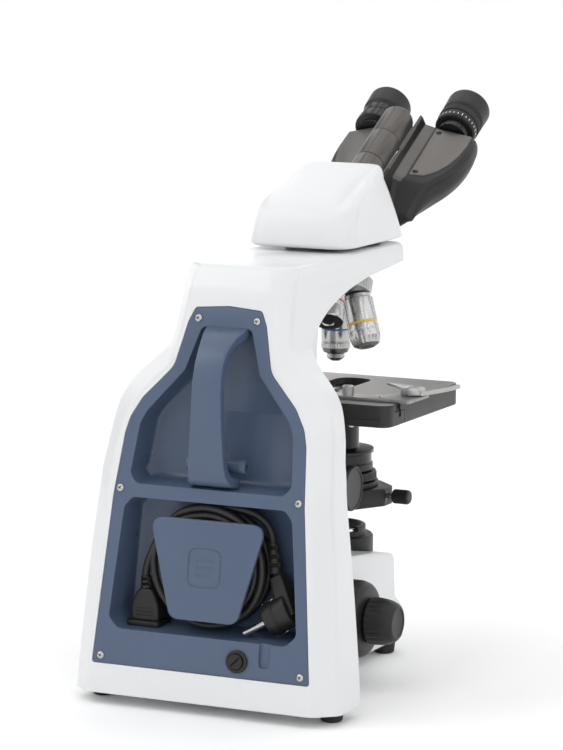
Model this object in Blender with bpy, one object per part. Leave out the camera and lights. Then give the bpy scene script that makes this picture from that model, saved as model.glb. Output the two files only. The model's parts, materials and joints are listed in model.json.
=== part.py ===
"""Laboratory microscope with a rear carrying handle and cord store.

Lengths are in millimetres until an object is finished, when MM turns them
into metres. X is across (the user's left is -X), -Y faces the user, Z is up.
"""
import math

import bmesh
import bpy
from mathutils import Matrix, Vector

MM = 0.001
GAP = 0.3

# Places that everything else hangs on.
FRAME_Y = 104.6          # moves the design so that its box is centred on the origin
OPTIC_Y = -126.8         # the vertical optical axis
STAND_BOTTOM = 8.0
ARM_TOP = 298.0
BEND_Z = 144.5           # height where the rear panel bends
BEND_Y = 79.3
LOWER_LEAN = 0.113
UPPER_LEAN = 0.245
STAGE_TOP = 194.4
STAGE_BOTTOM = 178.8
STAGE_HALF = 73.0
STAGE_FRONT = -184.8
STAGE_BACK = -54.0
FOCUS_AXIS = (-36.8, 46.5)
CONDENSER_KNOB = (-48.0, 136.0)
STAGE_KNOB = (56.0, -100.0)
TURRET_TILT = math.radians(20)
TURRET_RADIUS = 24.0
SHOULDER_Z = 257.1
TUBE_ORIGIN = Vector((0.0, -183.2, 349.0))
TUBE_TILT = math.radians(29.4)
EYE_SIDE = 32.0
EYE_DROP = 24.0

# Power cord.
CORD = 5.4
CORD_PITCH = 5.5
COIL_X = 3.5
COIL_Z = 97.5
COIL_MIDDLE_Y = 66.8
COIL_TURNS_ACROSS = 3
COIL_OUTER_TURN = 40.6
COIL_INNER_TURN = 35.1

COLOURS = {
    "white paint": (0.86, 0.87, 0.88, 0.35, 0.0),
    "blue panel": (0.13, 0.18, 0.29, 0.45, 0.0),
    "black plastic": (0.03, 0.03, 0.03, 0.5, 0.0),
    "dark satin": (0.11, 0.10, 0.10, 0.4, 0.3),
    "stage satin": (0.30, 0.29, 0.28, 0.4, 0.4),
    "chrome": (0.75, 0.75, 0.74, 0.2, 1.0),
    "rubber": (0.02, 0.02, 0.02, 0.8, 0.0),
    "glass": (0.8, 0.9, 0.95, 0.05, 0.0),
}


def clear_scene():
    for old in list(bpy.data.objects):
        bpy.data.objects.remove(old, do_unlink=True)


def material(name):
    found = bpy.data.materials.get(name)
    if found:
        return found
    red, green, blue, rough, metal = COLOURS[name]
    made = bpy.data.materials.new(name)
    made.use_nodes = True
    shader = made.node_tree.nodes["Principled BSDF"]
    shader.inputs["Base Color"].default_value = (red, green, blue, 1.0)
    shader.inputs["Roughness"].default_value = rough
    shader.inputs["Metallic"].default_value = metal
    return made


# ---------------------------------------------------------------- outlines

def fillet(points, radius, steps=3):
    """Round the corners of a closed outline; radius is one number or one per corner."""
    count = len(points)
    radii = radius if isinstance(radius, (list, tuple)) else [radius] * count
    rounded = []
    for index, size in enumerate(radii):
        corner = Vector(points[index])
        before = (Vector(points[index - 1]) - corner)
        after = (Vector(points[(index + 1) % count]) - corner)
        if size <= 0:
            rounded.append(tuple(corner))
            continue
        turn = before.angle(after)
        reach = min(size / math.tan(turn / 2), before.length * 0.49, after.length * 0.49)
        start = corner + before.normalized() * reach
        end = corner + after.normalized() * reach
        for step in range(steps + 1):
            t = step / steps
            rounded.append(tuple(start * (1 - t) ** 2 + corner * 2 * t * (1 - t) + end * t * t))
    return rounded


def mirrored(half):
    """A closed outline, symmetric about x = 0, from the points of its +X half."""
    return list(half) + [(-x, z) for x, z in reversed(half) if abs(x) > 1e-6]


def rectangle(width, depth, centre=(0.0, 0.0)):
    cx, cy = centre
    w, d = width / 2, depth / 2
    return [(cx - w, cy - d), (cx + w, cy - d), (cx + w, cy + d), (cx - w, cy + d)]


def circle(radius, count, centre=(0.0, 0.0)):
    steps = [2 * math.pi * i / count for i in range(count)]
    return [(centre[0] + radius * math.cos(a), centre[1] + radius * math.sin(a)) for a in steps]


# ---------------------------------------------------------------- solids

def skin(rings, closed=False):
    """Join rings that have the same number of points; closed makes a torus-like solid."""
    mesh = bmesh.new()
    rows = [[mesh.verts.new(point) for point in ring] for ring in rings]
    pairs = list(zip(rows, rows[1:]))
    if closed:
        pairs.append((rows[-1], rows[0]))
    for low, high in pairs:
        for i in range(len(low)):
            j = (i + 1) % len(low)
            mesh.faces.new((low[i], low[j], high[j], high[i]))
    if not closed:
        mesh.faces.new(list(reversed(rows[0])))
        mesh.faces.new(rows[-1])
    bmesh.ops.recalc_face_normals(mesh, faces=mesh.faces)
    return mesh


def place(point, axis, along):
    a, b = point
    if axis == "X":
        return (along, a, b)
    if axis == "Y":
        return (a, along, b)
    return (a, b, along)


def prism(outline, axis, low, high):
    """Outline pushed from low to high along an axis; each may be a function of the point."""
    ends = []
    for level in (low, high):
        ends.append([place(p, axis, level(p) if callable(level) else level) for p in outline])
    return skin(ends)


def turned(profile, segments=24, bore=False):
    """Profile of (radius, height) turned about Z. bore: the profile is a closed loop."""
    mesh = bmesh.new()
    rows = []
    for radius, height in profile:
        if radius < 1e-6:
            rows.append([mesh.verts.new((0, 0, height))])
        else:
            rows.append([mesh.verts.new((x, y, height)) for x, y in circle(radius, segments)])
    pairs = list(zip(rows, rows[1:]))
    if bore:
        pairs.append((rows[-1], rows[0]))
    for low, high in pairs:
        for i in range(segments):
            j = (i + 1) % segments
            if len(low) == 1:
                mesh.faces.new((low[0], high[i], high[j]))
            elif len(high) == 1:
                mesh.faces.new((low[i], low[j], high[0]))
            else:
                mesh.faces.new((low[i], low[j], high[j], high[i]))
    bmesh.ops.recalc_face_normals(mesh, faces=mesh.faces)
    return mesh


def basis(along, across=None):
    """A rotation whose Z is along, and whose X is as near to across as it can be."""
    z = Vector(along).normalized()
    x = Vector(across) if across else Vector((1, 0, 0))
    if abs(z.dot(x.normalized())) > 0.99:
        x = Vector((0, 1, 0))
    y = z.cross(x).normalized()
    x = y.cross(z)
    return Matrix((x, y, z)).transposed().to_4x4()


FACING_LEFT = basis((-1, 0, 0), (0, 1, 0))
FACING_RIGHT = basis((1, 0, 0), (0, 1, 0))
TUBE_AXIS = Vector((0, -math.cos(TUBE_TILT), math.sin(TUBE_TILT)))
TUBE_UP = Vector((0, math.sin(TUBE_TILT), math.cos(TUBE_TILT)))
TUBE_BASIS = basis(TUBE_AXIS, (1, 0, 0))


def build(name, mesh, finish, at=(0, 0, 0), turn=None, soft=40):
    """Make one object from a mesh in millimetres, standing at a point of the design."""
    bmesh.ops.scale(mesh, vec=(MM, MM, MM), verts=mesh.verts)
    data = bpy.data.meshes.new(name)
    mesh.to_mesh(data)
    mesh.free()
    data.shade_smooth()
    data.set_sharp_from_angle(angle=math.radians(soft))
    data.materials.append(material(finish))
    made = bpy.data.objects.new(name, data)
    bpy.context.collection.objects.link(made)
    made.parent = FRAME
    place_at = Matrix.Translation(Vector(at) * MM)
    made.matrix_local = place_at @ (turn or Matrix.Identity(4))
    return made


def combine(target, mesh, operation, at=(0, 0, 0), turn=None):
    tool = build(target.name + "_tool_" + str(len(target.modifiers)), mesh,
                 "black plastic", at, turn)
    tool.hide_render = True
    tool.display_type = "WIRE"
    step = target.modifiers.new(operation.lower(), "BOOLEAN")
    step.operation = operation
    step.solver = "EXACT"
    step.object = tool
    return tool


def cut(target, mesh, at=(0, 0, 0), turn=None):
    return combine(target, mesh, "DIFFERENCE", at, turn)


def join(target, mesh, at=(0, 0, 0), turn=None):
    return combine(target, mesh, "UNION", at, turn)


def bevel(target, width, segments=1, angle=40):
    step = target.modifiers.new("bevel", "BEVEL")
    step.width = width * MM
    step.segments = segments
    step.limit_method = "ANGLE"
    step.angle_limit = math.radians(angle)


# ---------------------------------------------------------------- stand

def panel_y(z):
    """Back surface of the bent rear panel at a height."""
    return BEND_Y + LOWER_LEAN * (BEND_Z - z) if z < BEND_Z else BEND_Y - UPPER_LEAN * (z - BEND_Z)


def lower_plane(inset):
    return lambda p: BEND_Y + LOWER_LEAN * (BEND_Z - p[1]) - inset


def upper_plane(inset):
    return lambda p: BEND_Y - UPPER_LEAN * (p[1] - BEND_Z) - inset


PANEL_HALF_UPPER = [(0, 271.4), (24.5, 269.5), (29, 260), (36, 230), (57, 208), (64.5, 195),
                    (67.3, 184), (70.8, BEND_Z)]
PANEL_HALF_LOWER = [(70.8, BEND_Z), (81, 28.5)]
UPPER_RECESS = [(18.5, 257.5), (28, 228), (52.8, 199.5), (57, 191), (60.3, 157.5), (55, 151)]
LOWER_RECESS = [(57, 142.3), (62.6, 135.5), (70, 60), (62.4, 52.8)]
UPPER_DEPTH = 23.0
LOWER_FLOOR = 57.0
SCREW_PLACES = ((74.5, 33.6), (66.3, BEND_Z + 3), (21.7, 262.6))
PANEL_SCREWS = [(side * x, z) for x, z in SCREW_PLACES for side in (1, -1)]
FUSE_PLACE = (-27.8, 39.5)
WALL = 2.0


def stand_level(z, width, corner_y, flat, front, column, back=None):
    """Plan outline of the stand at one height; it follows the rear panel unless back is given."""
    rear = panel_y(z) if back is None else back
    shoulder = (width, front + 3)
    half = [(flat, rear), (width - 2.5, corner_y + 1.5), (width, corner_y - 2), shoulder,
            (width - 3, front), (column, front - 0.2), (column, min(-19, front - 0.6)),
            (column - 4, min(-22, front - 3.6))]
    ring = half + [(-x, y) for x, y in reversed(half)]
    return [(x, y, z) for x, y in ring]


def stand_body():
    levels = [
        (STAND_BOTTOM, 99.2, 82.0, 84, 46), (96, 92.6, 75.8, 78, 46), (BEND_Z, 87.6, 71.0, 75, 45.5),
        (172, 85.0, 65.0, 73, 43), (185, 83.6, 60.7, 71, 39.8), (200, 80.9, 57.0, 66, 37),
        (210, 77.0, 54.8, 60.5, 34), (220, 70.2, 52.4, 52, 32), (230, 60.0, 49.7, 42, 28),
        (238, 51.1, 48.0, 37.5, 20), (244, 46.2, 45.6, 36, 13), (251, 44.7, 43.5, 34, 2),
        (257, 43.9, 41.5, 33, -6), (266, 43.2, 38.5, 31.5, -26), (274, 42.6, 35.6, 31, -55),
        (280, 42.2, 33.2, 30.5, -92)]
    rings = [stand_level(z, width, corner, flat, front, 34)
             for z, width, corner, flat, front in levels]
    rings.append(stand_level(284, 41.8, 31.6, 30, -153.6, 34, 44.2))
    rings.append(stand_level(ARM_TOP - 3, 40.6, 27.0, 29, -154.2, 34, 37.5))
    rings.append(stand_level(ARM_TOP, 38.4, 24.5, 27, -151.8, 32, 34.5))
    body = build("stand_body", skin(rings), "white paint", soft=28)
    side = fillet([(60, 9), (-155, STAND_BOTTOM), (-155, 31), (-139.5, 43), (-136.5, 74), (-101, 80),
                   (-61, 85), (60, 92)], [0, 3, 3, 3, 5, 0, 0, 0])
    base = build("base_block", prism(side, "X", -44, 44), "white paint")
    bevel(base, 3.0, 2)
    base.hide_render = True
    base.display_type = "WIRE"
    step = body.modifiers.new("base", "BOOLEAN")
    step.operation = "UNION"
    step.object = base
    # Seat and pocket for the rear panel.
    for half, plane in ((PANEL_HALF_LOWER, lower_plane), (PANEL_HALF_UPPER, upper_plane)):
        outline = mirrored([(x + GAP if x else 0, z) for x, z in half])
        outline = [(x, z - GAP if z == 28.5 else z + (GAP if z > 269 else 0)) for x, z in outline]
        if plane is lower_plane:
            outline = [(x, z + 0.5 if z == BEND_Z else z) for x, z in outline]
        cut(body, prism(outline, "Y", plane(3.0 + GAP), 120))
    pocket_low = mirrored([(60, 146), (66, 141), (73.4, 60), (66, 49.5)])
    cut(body, prism(pocket_low, "Y", LOWER_FLOOR - WALL - 0.5, 100))
    pocket_high = mirrored([(x + 3, z) for x, z in
                            [(18.5, 260.5), (28, 229.5), (52.8, 201), (57, 192), (60.5, 157), (57, 146)]])
    cut(body, prism(pocket_high, "Y", upper_plane(UPPER_DEPTH + WALL + 0.5), 100))
    cut(body, prism(circle(7.4, 16, FUSE_PLACE), "Y", 70, 110))
    # Turret pocket under the arm, seats for the lamp holder and the shafts.
    cut(body, turned([(0, 60), (58.6, 60), (36.2, -1.5), (35.2, -4.5), (35.2, -17.2), (0, -17.2)], 32),
        tuple(TURRET_CENTRE), TURRET_BASIS)
    cut(body, turned([(0, 130), (28.9, 130), (28.9, 72.7), (0, 72.7)], 32), (0, OPTIC_Y, 0))
    cut(body, turned([(0, 80), (6.5, 80), (6.5, -80), (0, -80)], 16),
        (0, FOCUS_AXIS[0], FOCUS_AXIS[1]), FACING_LEFT)
    return body


def rear_panel():
    upper = build("rear_panel", prism(mirrored(PANEL_HALF_UPPER), "Y", upper_plane(3.0),
                                      upper_plane(0)), "blue panel")
    lower_outline = mirrored([(70.8, BEND_Z + 0.01), (81, 28.5)])
    join(upper, prism(lower_outline, "Y", lower_plane(3.0), lower_plane(0)))
    high_tub = mirrored([(x + WALL, z) for x, z in UPPER_RECESS])
    high_tub = [(x, z + (WALL if z > 250 else -WALL if z < 155 else 0)) for x, z in high_tub]
    join(upper, prism(fillet(high_tub, 4, 2), "Y", upper_plane(UPPER_DEPTH + WALL), upper_plane(1)))
    low_tub = mirrored([(x + WALL, z) for x, z in LOWER_RECESS])
    low_tub = [(x, z + (WALL if z > 140 else -WALL if z < 55 else 0)) for x, z in low_tub]
    join(upper, prism(fillet(low_tub, 4, 2), "Y", LOWER_FLOOR - WALL, lower_plane(1)))
    cut(upper, prism(fillet(mirrored(UPPER_RECESS), 5, 2), "Y", upper_plane(UPPER_DEPTH), 110))
    cut(upper, prism(fillet(mirrored(LOWER_RECESS), 5, 2), "Y", LOWER_FLOOR, 110))
    # Cord notch below the lower recess, and the fuse hole.
    notch = fillet([(-43.6, 60), (-43.6, 36.5), (-51.4, 36.5), (-51.4, 60)], [0, 3.6, 3.6, 0], 3)
    cut(upper, prism(notch, "Y", lower_plane(2.0), 110))
    cut(upper, prism(circle(6.6, 16, FUSE_PLACE), "Y", 70, 110))
    for x, z in PANEL_SCREWS:
        cut(upper, turned([(0, 6), (1.5, 6), (1.5, -8), (0, -8)], 8), (x, panel_y(z), z),
            basis(panel_normal(z)))
    return upper


def panel_normal(z):
    lean = LOWER_LEAN if z < BEND_Z else UPPER_LEAN
    return Vector((0, 1, lean)).normalized()


def panel_screws():
    profile = [(0, -2.7), (1.1, -2.7), (1.1, GAP), (2.2, GAP), (2.2, 1.0), (1.3, 1.5), (0, 1.6)]
    for number, (x, z) in enumerate(PANEL_SCREWS, 1):
        build("panel_screw_%d" % number, turned(profile, 12), "chrome",
              (x, panel_y(z), z), basis(panel_normal(z)))


def carry_handle():
    path = [(66.5, 155.2, 17), (75, 156, 16.5), (79.6, 163.5, 14.2), (80.6, 180, 12.8), (80.6, 205, 11.2),
            (79.6, 224, 10.6), (74, 237, 10.4), (65, 247, 11.8), (54, 253.2, 15), (43.5, 256.2, 16.5)]
    rings = []
    for index, (y, z, half) in enumerate(path):
        back = path[max(index - 1, 0)]
        ahead = path[min(index + 1, len(path) - 1)]
        run = Vector((0, ahead[0] - back[0], ahead[1] - back[1])).normalized()
        out = run.cross(Vector((1, 0, 0))).normalized() * 3.6
        centre = Vector((0, y, z))
        ring = []
        for side, part in ((1, -0.55), (1, 0.55), (0.84, 1), (-0.84, 1), (-1, 0.55), (-1, -0.55),
                           (-0.84, -1), (0.84, -1)):
            ring.append(centre + Vector((half * side, 0, 0)) + out * part)
        rings.append(ring)
    rings[0] = [Vector((p.x, p.y, max(p.z, 151 + GAP))) for p in rings[0]]
    rings[-1] = [Vector((p.x, p.y, min(p.z, 257.2 - GAP))) for p in rings[-1]]
    build("carry_handle", skin(rings), "blue panel", soft=50)


def handle_pin():
    profile = [(2.2, -22), (5, -22), (5, 22), (2.2, 22)]
    build("handle_pin", turned(profile, 16, bore=True), "blue panel", (0, 65.0, 166.0), FACING_LEFT)


def cord_winder():
    outline = fillet(mirrored([(43.5, 130.6), (25, 62.8)]), 9, 4)
    plate = build("cord_winder", prism(outline, "Y", lower_plane(4.2), lower_plane(1.0)), "blue panel")
    bevel(plate, 0.8)
    join(plate, turned([(0, LOWER_FLOOR + GAP), (26, LOWER_FLOOR + GAP), (26, 80), (0, 80)], 24),
         (COIL_X - 1.5, 0, COIL_Z), basis((0, 1, 0)))
    return plate


def fuse_cap():
    x, z = FUSE_PLACE
    cap = build("fuse_cap", turned([(0, -9), (5.9, -9), (5.9, GAP), (7.8, GAP), (7.8, 1.4), (6.9, 2.2),
                                    (5.2, 2.2), (5.2, 3.4), (0, 3.4)], 20), "black plastic",
                (x, panel_y(z), z), basis(panel_normal(z)))
    cut(cap, prism(rectangle(1.3, 8.0), "Z", 2.4, 6), (x, panel_y(z), z),
        basis(panel_normal(z), (1, 0, 1)))


def feet():
    profile = [(0, 0), (6.6, 0), (7.4, 1.0), (8.2, STAND_BOTTOM - GAP), (0, STAND_BOTTOM - GAP)]
    for number, (x, y) in enumerate(((86, 66), (-86, 66), (36, -137), (-36, -137)), 1):
        build("foot_%d" % number, turned(profile, 20), "rubber", (x, y, 0))


# ---------------------------------------------------------------- power cord

INLET = (49.5, 69.0)
CONNECTOR_TOP = Vector((50.5, 69.6, 78.0))
PLUG_NECK = Vector((-45.6, 67.5, 97.0))
RELIEF_TOP = Vector((-42.4, 66.8, 118.0))


def power_inlet():
    outline = fillet(rectangle(24, 20, INLET), 2, 1)
    inlet = build("power_inlet", prism(outline, "Z", 53.6, 57.0), "black plastic")
    return inlet


def inlet_connector():
    x, y = INLET
    sizes = [(57.3, 21.5, 14.5, 0), (68, 20.5, 14, 0), (75.5, 14, 12, 0.6), (78, 9, 9, 0.8)]
    rings = []
    for z, width, depth, shift in sizes:
        rings.append([(a, b, z) for a, b in fillet(rectangle(width, depth, (x + shift * 0.4, y)), 2.4, 2)])
    build("inlet_connector", skin(rings), "black plastic")


def tapered_relief(name, start, end, wide, narrow):
    """A strain relief with shallow ribs, from its wide end to its narrow end."""
    length = (end - start).length
    profile = [(0, 0), (wide, 0)]
    ribs = 3
    for rib in range(ribs):
        h = length * (0.15 + 0.8 * rib / ribs)
        radius = wide + (narrow - wide) * h / length
        profile += [(radius, h), (radius - 0.9, h + 0.1), (radius - 0.9, h + length * 0.07),
                    (radius, h + length * 0.075)]
    profile += [(narrow, length), (0, length)]
    build(name, turned(profile, 10), "black plastic", tuple(start), basis(end - start))


def coil_ring():
    outer = COIL_OUTER_TURN + CORD / 2 + 0.1
    inner = COIL_INNER_TURN - CORD / 2 - 0.1
    half = CORD_PITCH + CORD / 2 + 0.1
    profile = [(inner, -half), (outer, -half), (outer, half), (inner, half)]
    build("cord_coil", turned(profile, 36, bore=True), "rubber",
          (COIL_X, COIL_MIDDLE_Y, COIL_Z), basis((0, 1, 0)))


def smooth_route(points, spacing):
    """Points at an even spacing along a smooth curve through the given points."""
    dense = []
    padded = [points[0] * 2 - points[1]] + list(points) + [points[-1] * 2 - points[-2]]
    for a, b, c, d in zip(padded, padded[1:], padded[2:], padded[3:]):
        for step in range(20):
            t = step / 20
            dense.append(0.5 * (2 * b + (c - a) * t + (2 * a - 5 * b + 4 * c - d) * t * t
                                + (3 * b - a - 3 * c + d) * t ** 3))
    dense.append(points[-1])
    total = sum((q - p).length for p, q in zip(dense, dense[1:]))
    count = max(3, round(total / spacing))
    kept, walked, wanted = [dense[0]], 0.0, total / count
    for p, q in zip(dense, dense[1:]):
        walked += (q - p).length
        if walked >= wanted * len(kept) and len(kept) < count:
            kept.append(q)
    kept.append(dense[-1])
    return kept


def cord_tube(name, points):
    curve = bpy.data.curves.new(name, "CURVE")
    curve.dimensions = "3D"
    curve.bevel_depth = CORD / 2 * MM
    curve.bevel_resolution = 2
    curve.use_fill_caps = True
    route = smooth_route([Vector(p) for p in points], CORD * 1.6)
    spline = curve.splines.new("POLY")
    spline.points.add(len(route) - 1)
    for slot, point in zip(spline.points, route):
        slot.co = (point.x * MM, point.y * MM, point.z * MM, 1)
    curve.materials.append(material("rubber"))
    tube = bpy.data.objects.new(name, curve)
    bpy.context.collection.objects.link(tube)
    tube.parent = FRAME
    return tube


LEAD_ROUTE = [(51.3, 70.1, 88.5), (50.4, 70.9, 90.6), (49.3, 71.7, 93.4)]
TAIL_ROUTE = [(-20.8, 66.8, 138.0), (-27, 66.8, 136.9), (-33.6, 66.8, 133.6), (-38.6, 66.8, 128.6),
              (-41.4, 66.8, 123.0), (-42.3, 66.8, 118.5)]


def plug_body():
    """Angled mains plug: an arm from the strain relief, a round body and two pins."""
    axis = Vector((0.86, 0.0, -0.51))
    centre = Vector((-53.5, 70.5, 71.5))
    body = build("plug_body", turned([(0, -7), (11.2, -7), (12.0, -6), (12.0, 3), (11.4, 3.4), (11.4, 4.6),
                                      (12.0, 5), (12.0, 11.4), (11.2, 12.4), (0, 12.4)], 20),
                 "black plastic", tuple(centre), basis(axis, (0, 1, 0)))
    start = PLUG_NECK - (RELIEF_TOP - PLUG_NECK).normalized() * 6 * GAP
    low = Vector((-59.5, 70.5, 70.0))
    run = (low - start).normalized()
    side = run.cross(Vector((0, 1, 0))).normalized()
    rings = []
    for t, wide, deep in ((0, 5.2, 5.0), (0.3, 5.6, 6.6), (1.0, 5.4, 8.0)):
        spot = start + (low - start) * t
        rings.append([spot + side * a + Vector((0, b, 0)) for a, b in
                      fillet(rectangle(wide * 2, deep * 2), 2, 1)])
    join(body, skin(rings))
    across = Vector((0, 1, 0))
    for sign in (1, -1):
        foot = centre + across * 9.5 * sign * 0.8 + axis * 10
        join(body, turned([(0, 0), (2.4, 0), (2.4, 20), (1.4, 21.4), (0, 21.4)], 12), tuple(foot),
             basis(axis))
    return body


def power_cord():
    power_inlet()
    inlet_connector()
    lead_start = Vector(LEAD_ROUTE[0])
    tapered_relief("connector_relief", CONNECTOR_TOP + Vector((0, 0, 2 * GAP)),
                   lead_start - Vector((0, 0, 1.5)), 4.4, 3.3)
    cord_tube("cord_lead", LEAD_ROUTE)
    coil_ring()
    cord_tube("cord_tail", TAIL_ROUTE)
    tapered_relief("plug_relief", PLUG_NECK, RELIEF_TOP, 4.6, 3.3)
    plug_body()


# ---------------------------------------------------------------- base and focus

def lamp():
    holder = build("lamp_holder", turned([(0, 73), (28.4, 73), (28.4, 86), (27.4, 87), (22.9, 87),
                                          (22.9, 94), (20.4, 94), (18.4, 88.5), (18.4, 84), (8, 84),
                                          (8, 78), (0, 78)], 24), "black plastic", (0, OPTIC_Y, 0))
    cut(holder, prism(rectangle(20, 14, (-16.5, 13.5)), "Z", 90.6, 99), (0, OPTIC_Y, 0))
    build("field_lens", turned([(0, 84.3), (17.8, 84.3), (17.8, 88.2), (12, 90.2), (0, 91.2)], 28),
          "glass", (0, OPTIC_Y, 0))
    build("lamp_led", turned([(0, 78.3), (7.5, 78.3), (7.5, 80), (3, 80), (2.4, 82), (0, 82.4)], 16),
          "white paint", (0, OPTIC_Y, 0))
    build("brightness_dial", turned([(0, GAP), (12, GAP), (13, 1.5), (13, 7.5), (12, 9), (0, 9)], 24),
          "black plastic", (44, -112, 44), FACING_RIGHT)


def focus_knobs():
    y, z = FOCUS_AXIS
    centre = (0, y, z)
    build("focus_shaft", turned([(3.3, -67), (6, -67), (6, 67), (3.3, 67)], 16, bore=True),
          "chrome", centre, FACING_LEFT)
    coarse = [(6.3, 44.6), (22, 44.6), (26, 46), (27.6, 49), (27.6, 61), (26, 65), (22.5, 67.4),
              (17.5, 68.4), (6.3, 68.4)]
    fine = [(3.3, 69), (15.6, 69), (16.5, 70.5), (16.5, 78.5), (15.6, 79.3), (12.6, 88.6),
            (11.4, 89.6), (3.3, 89.6)]
    for side, turn in (("left", FACING_LEFT), ("right", FACING_RIGHT)):
        build("coarse_knob_" + side, turned(coarse, 24, bore=True), "black plastic", centre, turn)
    solid = [(0, 89.6), (11.4, 89.6)] + [(r, h) for r, h in reversed(fine[1:-2])]
    left = solid + [(3, 69), (3, -66), (0, -66)]
    build("fine_knob_left", turned(left, 16), "black plastic", centre, FACING_LEFT)
    right = solid + [(3, 69), (3, 66.4), (0, 66.4)]
    build("fine_knob_right", turned(right, 16), "black plastic", centre, FACING_RIGHT)


# ---------------------------------------------------------------- stage and condenser

def stage_carriage():
    carriage = build("stage_carriage", prism(rectangle(44, 11.4, (0, -28.0)), "Z", 118, 189.9),
                     "dark satin")
    join(carriage, prism(rectangle(68, 126, (0, -91)), "Z", 179.5, 189.9))
    join(carriage, prism(rectangle(18, 30, (0, -43)), "Z", 124, 183))
    cut(carriage, turned([(0, 170), (19, 170), (19, 200), (0, 200)], 32), (0, OPTIC_Y, 0))
    cut(carriage, turned([(0, -30), (4.4, -30), (4.4, 30), (0, 30)], 16),
        (0, CONDENSER_KNOB[0], CONDENSER_KNOB[1]), FACING_LEFT)


def stage_plate():
    depth = STAGE_BACK - STAGE_FRONT
    middle = (STAGE_BACK + STAGE_FRONT) / 2
    outer = fillet(rectangle(STAGE_HALF * 2, depth, (0, middle)), 6, 3)
    plate = build("stage_plate", prism(outer, "Z", STAGE_BOTTOM, STAGE_TOP), "stage satin")
    bevel(plate, 0.6)
    inner = fillet(rectangle(STAGE_HALF * 2 - 8, depth - 8, (0, middle)), 3, 1)
    cut(plate, prism(inner, "Z", STAGE_BOTTOM - 5, STAGE_TOP - 4.2))
    cut(plate, prism(rectangle(76, 30, (0, STAGE_BACK)), "Z", STAGE_BOTTOM - 5, STAGE_TOP - 4.2))
    slot = fillet(rectangle(27, 83, (0, OPTIC_Y)), 13.4, 6)
    cut(plate, prism(slot, "Z", STAGE_BOTTOM, STAGE_TOP + 5))
    # Seam behind the sliding part, and the notch at its top corner.
    for side in (1, -1):
        cut(plate, prism(rectangle(3, 9, (side * STAGE_HALF, -70.5)), "Z", 188.6, STAGE_TOP + 5))
    build("stage_y_knob", turned([(0, 124), (11.5, 124), (12.5, 125), (12.5, 144), (11.5, 145), (3, 145),
                                  (3, 189.9), (0, 189.9)], 20), "black plastic",
          (STAGE_KNOB[0], STAGE_KNOB[1], 0))
    build("stage_x_knob", turned([(3.3, 146), (9.5, 146), (10.5, 147), (10.5, 164), (9.5, 165), (5, 166),
                                  (5, 189.6), (3.3, 189.6)], 20, bore=True), "black plastic",
          (STAGE_KNOB[0], STAGE_KNOB[1], 0))


def slide_holder():
    top = STAGE_TOP + GAP
    carrier = build("slide_holder", prism(fillet(rectangle(76, 15, (-44, -76)), 2, 1), "Z", top, top + 2.2),
                    "chrome")
    jaw = [(-83, -78), (-83, -104), (-62, -104), (-54, -88), (-48, -86), (-48, -78)]
    join(carrier, prism(fillet(jaw, 2, 1), "Z", top + 0.4, top + 2.2))
    join(carrier, turned([(0, 1.6), (4.1, 1.6), (4.1, 8.6), (3.6, 9.2), (0, 9.2)], 16), (-34, -73, top))
    return carrier


def slide_finger():
    """Sprung finger: a boss, a pointed tab over the stage and a bar curved round outside it."""
    top = STAGE_TOP + GAP + 2.2 + GAP
    pivot = (-73.5, -96, top)
    finger = build("slide_finger", turned([(0, 0), (8.4, 0), (8.8, 0.8), (8.8, 4.4), (7.6, 5.6), (0, 5.9)], 24),
                   "chrome", pivot)
    tab = [(-78, -100), (-68, -104), (-52, -128), (-41, -152), (-44, -128), (-62, -95), (-72, -90)]
    join(finger, prism(tab, "Z", top + 3.4, top + 5.0))
    bar = []
    for step in range(9):
        t = step / 8
        angle = math.radians(60 * (1 - t) ** 1.5)
        bar.append(Vector((-80.5 - 10.5 * math.sin(t * math.pi / 2), -91 - 47 * t, 0)))
    side = [(p.x - 1.3, p.y) for p in bar] + [(p.x + 1.3, p.y) for p in reversed(bar)]
    join(finger, prism(side, "Z", top + 0.2, top + 2.8))
    return finger


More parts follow.
